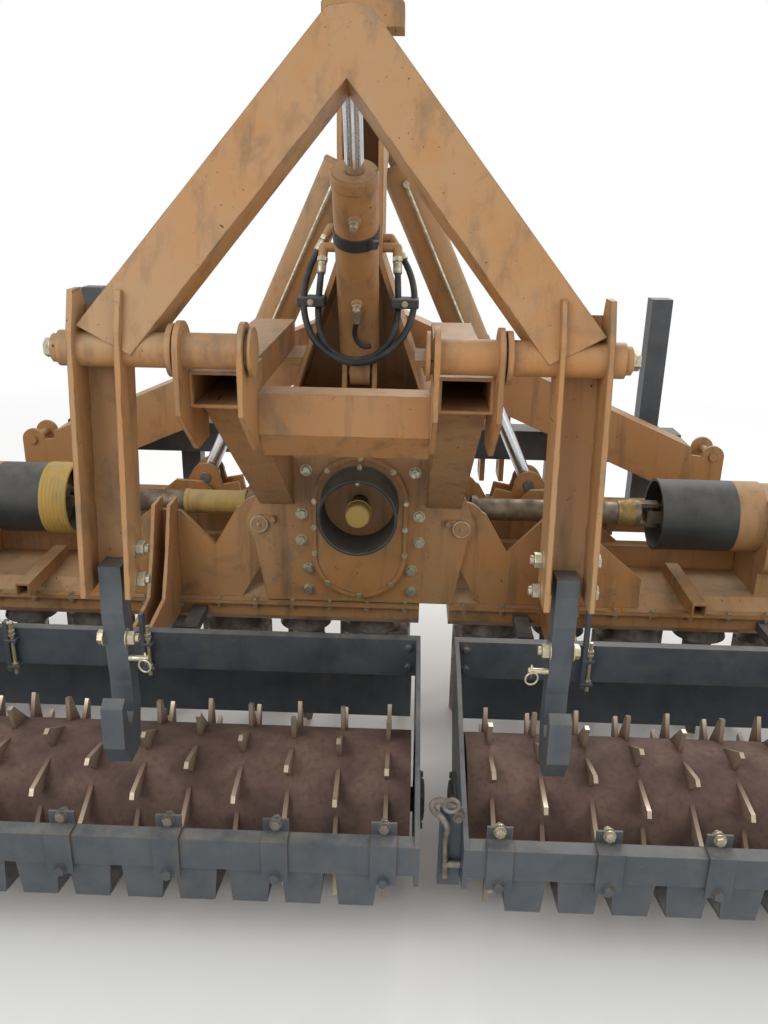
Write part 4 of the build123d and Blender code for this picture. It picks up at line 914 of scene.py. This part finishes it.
def makeLockHandle():
    facts = lockHandle
    keepTube("lock_handle", "wing_right", facts["route"], facts["radius"], "forgedSteel")
    x, y, z = facts["plateAt"]
    wide, deep, tall = facts["plateMm"]
    inX, inZ = facts["nutIn"]   # from the plate's outer top corner
    bm = bmesh.new()
    addRing(bm, turned(facts["loopAt"], rearward), facts["loopRadius"], facts["wireMm"])
    addDisc(bm, turned(facts["stubAt"], (-1, 0, 0)), *facts["stub"])
    nut = (x + wide / 2 - inX, y - deep / 2, z + tall / 2 - inZ)
    addFastener(bm, nut, rearward, facts["thread"], "nut")
    keepPiece(bm, "lock_handle_eye", "wing_right", "forgedSteel")
    bm = bmesh.new()
    addPlate(bm, level(facts["plateAt"]), facts["plateMm"])
    keepPiece(bm, "lock_plate", "wing_right", "darkEnamel")


# Guards of the wing drive shafts: a ribbed yellow band and a tube guard on the left, brass sleeves on both
guardBand = {
    "from": 990, "mm": 90, "inside": 113.5, "outside": 122.2, "skinMm": 2, "flange": (-0.4, 4),
    "ribs": 7, "ribMm": 1.5,
}
tubeGuard = {"from": 402, "mm": 210, "inside": 38, "outside": 41, "lip": 43, "lipMm": 12, "slopeMm": 4}
shaftSleeve = {
    "from": 919,
    "outline": [(33, -1), (48.2, -1), (48.6, 4), (47.9, 8), (41.2, 53.2), (40.2, 54.4), (36, 54.4)],
}


def makeGuardBand():
    facts = guardBand
    inside, outside, long = facts["inside"], facts["outside"], facts["mm"]
    low, high = facts["flange"]
    outline = [(inside, low), (outside, low)]
    pitch = long / facts["ribs"]
    for number in range(facts["ribs"]):   # rounded ribs along the band
        for share, out in ((0.25, facts["ribMm"]), (0.65, facts["ribMm"]), (0.9, 0)):
            outline.append((outside + out, (number + share) * pitch))
    skin = outside - facts["skinMm"]
    outline += [(outside, long), (skin, long), (skin, high), (inside, high)]
    bm = bmesh.new()
    addTurned(bm, turned((-facts["from"], 0, hingeZ), (-1, 0, 0)), outline, steps=72)
    keepPiece(bm, "guard_band_left", "wing_left", "yellowGuard")


def makeTubeGuard():
    facts = tubeGuard
    inside, outside, lip, long = facts["inside"], facts["outside"], facts["lip"], facts["mm"]
    rim = facts["lipMm"]
    slope = rim + facts["slopeMm"]
    outline = [
        (inside, 0), (lip, 0), (lip, rim), (outside, slope), (outside, long - slope), (lip, long - rim),
        (lip, long), (inside, long),
    ]
    bm = bmesh.new()
    addTurned(bm, turned((-facts["from"], 0, hingeZ), (-1, 0, 0)), outline, steps=48)
    keepPiece(bm, "tube_guard_left", "driveline_left", "yellowGuard")


def makeShaftSleeve(side):
    sign = sides[side]
    bm = bmesh.new()
    seat = turned((sign * shaftSleeve["from"], 0, hingeZ), (-sign, 0, 0))
    addTurned(bm, seat, shaftSleeve["outline"], steps=48)
    keepPiece(bm, "shaft_sleeve_" + side, "driveline_" + side, "brassSleeve")


# Front: nuts of the clamps that hold the track eradicators
clampBolts = {"x": [773, 1136], "y": 825, "z": [815, 879], "apart": 32, "thread": 16}


def makeClampBolts():
    facts = clampBolts
    rows = []
    for sign in sides.values():
        for x in facts["x"]:
            for z in facts["z"]:
                for way in (-1, 1):
                    spot = (sign * x + way * facts["apart"], facts["y"], z)
                    rows.append((spot, forward, facts["thread"], "nut"))
    keepFasteners("clamp_bolts", "chassis", rows)


makeChassisBolts()
makeRearDrive()
makeFoldPinTabs()
makeLiftArms()
for side in sides:
    makeStrapBolts(side)
    makeBedBolts(side)
    makeRollerFrameDetails(side)
for row in spindles["rows"]:
    makeSpindle(row)
makeLockHandle()
makeGuardBand()
makeTubeGuard()
for side in sides:
    makeShaftSleeve(side)
makeClampBolts()
print("fasteners and fittings made")


# Lift cylinder: gland nut, port bosses and fittings, black clamp band and the pipe down its barrel. Spots on
# it are x, the way along the barrel, and the way out from its middle line towards the rear.
liftCylinder = {
    "foot": (-250, 1300), "along": (-0.5231, 0.8523), "radius": 57, "glandAt": 640,
    "gland": [(24.5, -6), (59, -34), (59.8, -32), (59.8, -8), (56, 1.5), (28, 1.5), (24.5, 0)],
    "ports": [540, 288], "boss": (17, -3, 10, 28, 1.5, 14),
    "fitting": [(13, 9, 20, 6, 1), (9, 20, 35, 20, 1.5)],
    "jointAt": (0, 279, 84), "joint": [(12, -13, 9, 6, 1), (9.5, 9, 30, 20, 1)],
    "bandAt": 450, "band": [(56, 0), (60.5, 0), (61, 2), (61, 32), (60.5, 34), (56, 34)],
    "claspAt": (44, 467, 44), "claspOut": (0.7, -0.6, -0.37), "claspMm": (26, 24, 22), "claspBevel": 4,
    "pipeRadius": 7,
    "pipe": [
        (0, 288, 84), (0, 262, 86), (-3, 235, 78), (-8, 208, 72), (-6, 182, 72), (8, 160, 74),
        (22, 150, 70), (34, 146, 60),
    ],
}


def onLiftBarrel(x, alongMm, outMm):
    (footY, footZ), (alongY, alongZ) = liftCylinder["foot"], liftCylinder["along"]
    return (x, footY + alongY * alongMm - alongZ * outMm, footZ + alongZ * alongMm + alongY * outMm)


def makeLiftCylinder():
    facts = liftCylinder
    alongY, alongZ = facts["along"]
    line = (0, alongY, alongZ)
    ports = [turned(onLiftBarrel(0, port, facts["radius"]), (0, -alongZ, alongY)) for port in facts["ports"]]
    bm = bmesh.new()
    addTurned(bm, turned(onLiftBarrel(0, facts["glandAt"], 0), line), facts["gland"], steps=48)
    for port in ports:
        addDisc(bm, port, *facts["boss"])
    keepPiece(bm, "lift_barrel_gland", "lift_barrel", "orangeEnamel")
    bm = bmesh.new()
    for port in ports:
        addDiscs(bm, port, facts["fitting"])
    addDiscs(bm, turned(onLiftBarrel(*facts["jointAt"]), (0, -alongY, -alongZ)), facts["joint"])
    keepPiece(bm, "lift_barrel_fittings", "lift_barrel", "zincSteel")
    bm = bmesh.new()
    addTurned(bm, turned(onLiftBarrel(0, facts["bandAt"], 0), line), facts["band"], steps=48)
    clasp = turned(onLiftBarrel(*facts["claspAt"]), facts["claspOut"])
    addPlate(bm, clasp, facts["claspMm"], facts["claspBevel"])
    keepPiece(bm, "lift_barrel_band", "lift_barrel", "blackGuard")
    route = [onLiftBarrel(*spot) for spot in facts["pipe"]]
    keepTube("lift_barrel_pipe", "lift_barrel", route, facts["pipeRadius"], "blackGuard")


# Fold cylinders: gland and neck rings, ports and the steel pipe along each barrel, and the pin through the
# rod's eye and the wing's lug
foldCylinders = {
    "top": (55, 250, 1960), "tip": (590, 250, 807), "radius": 65,
    "glandAt": 755, "gland": [(26, -8), (67, -40), (68, -38), (68, -9), (63, 2), (30, 2), (26, 0)],
    "neckAt": 82, "neck": [(30, -2), (59, -2), (66.5, 6), (66.5, 14), (30, 14)],
    "ports": [150, 700], "boss": (17, -3, 9, 28, 1.5, 14), "fitting": (12, 8, 20, 6, 1),
    "pipeRadius": 6,
    "pipe": [   # along the barrel, and out from its middle line
        (700, 73.6), (696, 80), (676, 81.6), (580, 78.4), (320, 78.4), (220, 81.6), (180, 81.6), (156, 80),
        (150, 73.6),
    ],
    "pinRadius": 20.3, "pins": [(-1, 217.5, 21), (1, 282.5, 19.5)],   # direction, start and length
    "lugFront": 300, "lidRadius": 27, "lidMm": 7, "thread": 16,
}


def makeFoldCylinder(side):
    facts = foldCylinders
    barrel = "fold_barrel_" + side
    top, tip = (Vector((sides[side] * x, y, z)) for x, y, z in (facts["top"], facts["tip"]))
    line = (tip - top).normalized()
    rear = Vector(rearward)
    ports = [turned(top + line * port + rear * facts["radius"], rearward) for port in facts["ports"]]
    bm = bmesh.new()
    for name in ("gland", "neck"):
        addTurned(bm, turned(top + line * facts[name + "At"], line), facts[name], steps=48)
    for port in ports:
        addDisc(bm, port, *facts["boss"])
    keepPiece(bm, "fold_barrel_gland_" + side, barrel, "orangeEnamel")
    bm = bmesh.new()
    for port in ports:
        addDisc(bm, port, *facts["fitting"])
    keepPiece(bm, "fold_barrel_fittings_" + side, barrel, "zincSteel")
    route = [top + line * alongMm + rear * outMm for alongMm, outMm in facts["pipe"]]
    keepTube("fold_barrel_pipe_" + side, barrel, route, facts["pipeRadius"], "zincSteel")
    bm = bmesh.new()
    for way, start, long in facts["pins"]:
        addDisc(bm, turned((tip.x, start, tip.z), (0, way, 0)), facts["pinRadius"], 0, long, 32, 1.5)
    lid, lidMm = (tip.x, facts["lugFront"], tip.z), facts["lidMm"]
    addDisc(bm, turned(lid, forward), facts["lidRadius"], 0, lidMm, 36, 1.5)
    addFastener(bm, (tip.x, facts["lugFront"] + lidMm, tip.z), forward, facts["thread"])
    keepPiece(bm, "fold_lug_pin_" + side, "wing_" + side, "forgedSteel")


# Hose ends: crimped sleeves and hexagons where each hose leaves its elbow, and two clamp blocks on the tower
hoseEnds = {
    "hexagon": (15, -12, 2, 6, 1),
    "sleeve": [
        (8, 1), (10.5, 1), (12.5, 5), (12.5, 11), (11.6, 14), (12.5, 17), (12.5, 33), (11, 36), (8, 36),
    ],
    "clampAt": (128, -383, 1515), "clampMm": (76, 78, 26), "clampBevel": 4, "thread": 8,
}


def makeHoseEnds():
    facts = hoseEnds
    bm = bmesh.new()
    for side in sides:
        route = hoses[side]["route"]
        for end, after in ((route[0], route[1]), (route[-1], route[-2])):
            seat = turned(end, Vector(after) - Vector(end))
            addDisc(bm, seat, *facts["hexagon"])
            addTurned(bm, seat, facts["sleeve"], steps=24)
    keepPiece(bm, "hose_end_sleeves", "chassis", "zincSteel")
    bm = bmesh.new()
    bolts = bmesh.new()
    x, y, z = facts["clampAt"]
    for sign in sides.values():
        addPlate(bm, level((sign * x, y, z)), facts["clampMm"], facts["clampBevel"])
        addFastener(bolts, (sign * x, y - facts["clampMm"][1] / 2, z), rearward, facts["thread"])
    keepPiece(bm, "hose_clamps", "chassis", "blackGuard")
    keepPiece(bolts, "hose_clamp_bolts", "chassis", "zincSteel")


# Small things on the chassis: grease nipples on the fold pins, a blank plate under the cover, bolts on the
# rear guard
chassisTrim = {
    "nipple": [(6, 0, 5, 6, 0.6), (3, 5, 10, 12), (3.6, 9, 15, 12, 0.7, 2.4)],   # hexagon foot, neck and ball
    "plateAt": (-22, -190.6, 527), "plateMm": (72, 3, 18), "plateBevel": 0.8,
    "guardBolts": [((0, -352, 984), downward, 10), ((0, -246, 991), upward, 10, "nut")],
}


def makeChassisTrim():
    facts = chassisTrim
    bm = bmesh.new()
    lidY = foldPins["faceY"] + foldPins["headMm"] + foldPins["lidMm"]
    for sign in sides.values():
        for way in (-1, 1):
            addDiscs(bm, turned((sign * foldPins["x"], way * lidY, hingeZ), (0, way, 0)), facts["nipple"])
    keepPiece(bm, "grease_nipples", "chassis", "zincSteel")
    bm = bmesh.new()
    addPlate(bm, level(facts["plateAt"]), facts["plateMm"], facts["plateBevel"])
    keepPiece(bm, "blank_plate", "chassis", "yellowGuard")
    keepFasteners("guard_bolts", "chassis", facts["guardBolts"])


makeLiftCylinder()
for side in sides:
    makeFoldCylinder(side)
makeHoseEnds()
makeChassisTrim()
print("cylinders and pipes dressed")
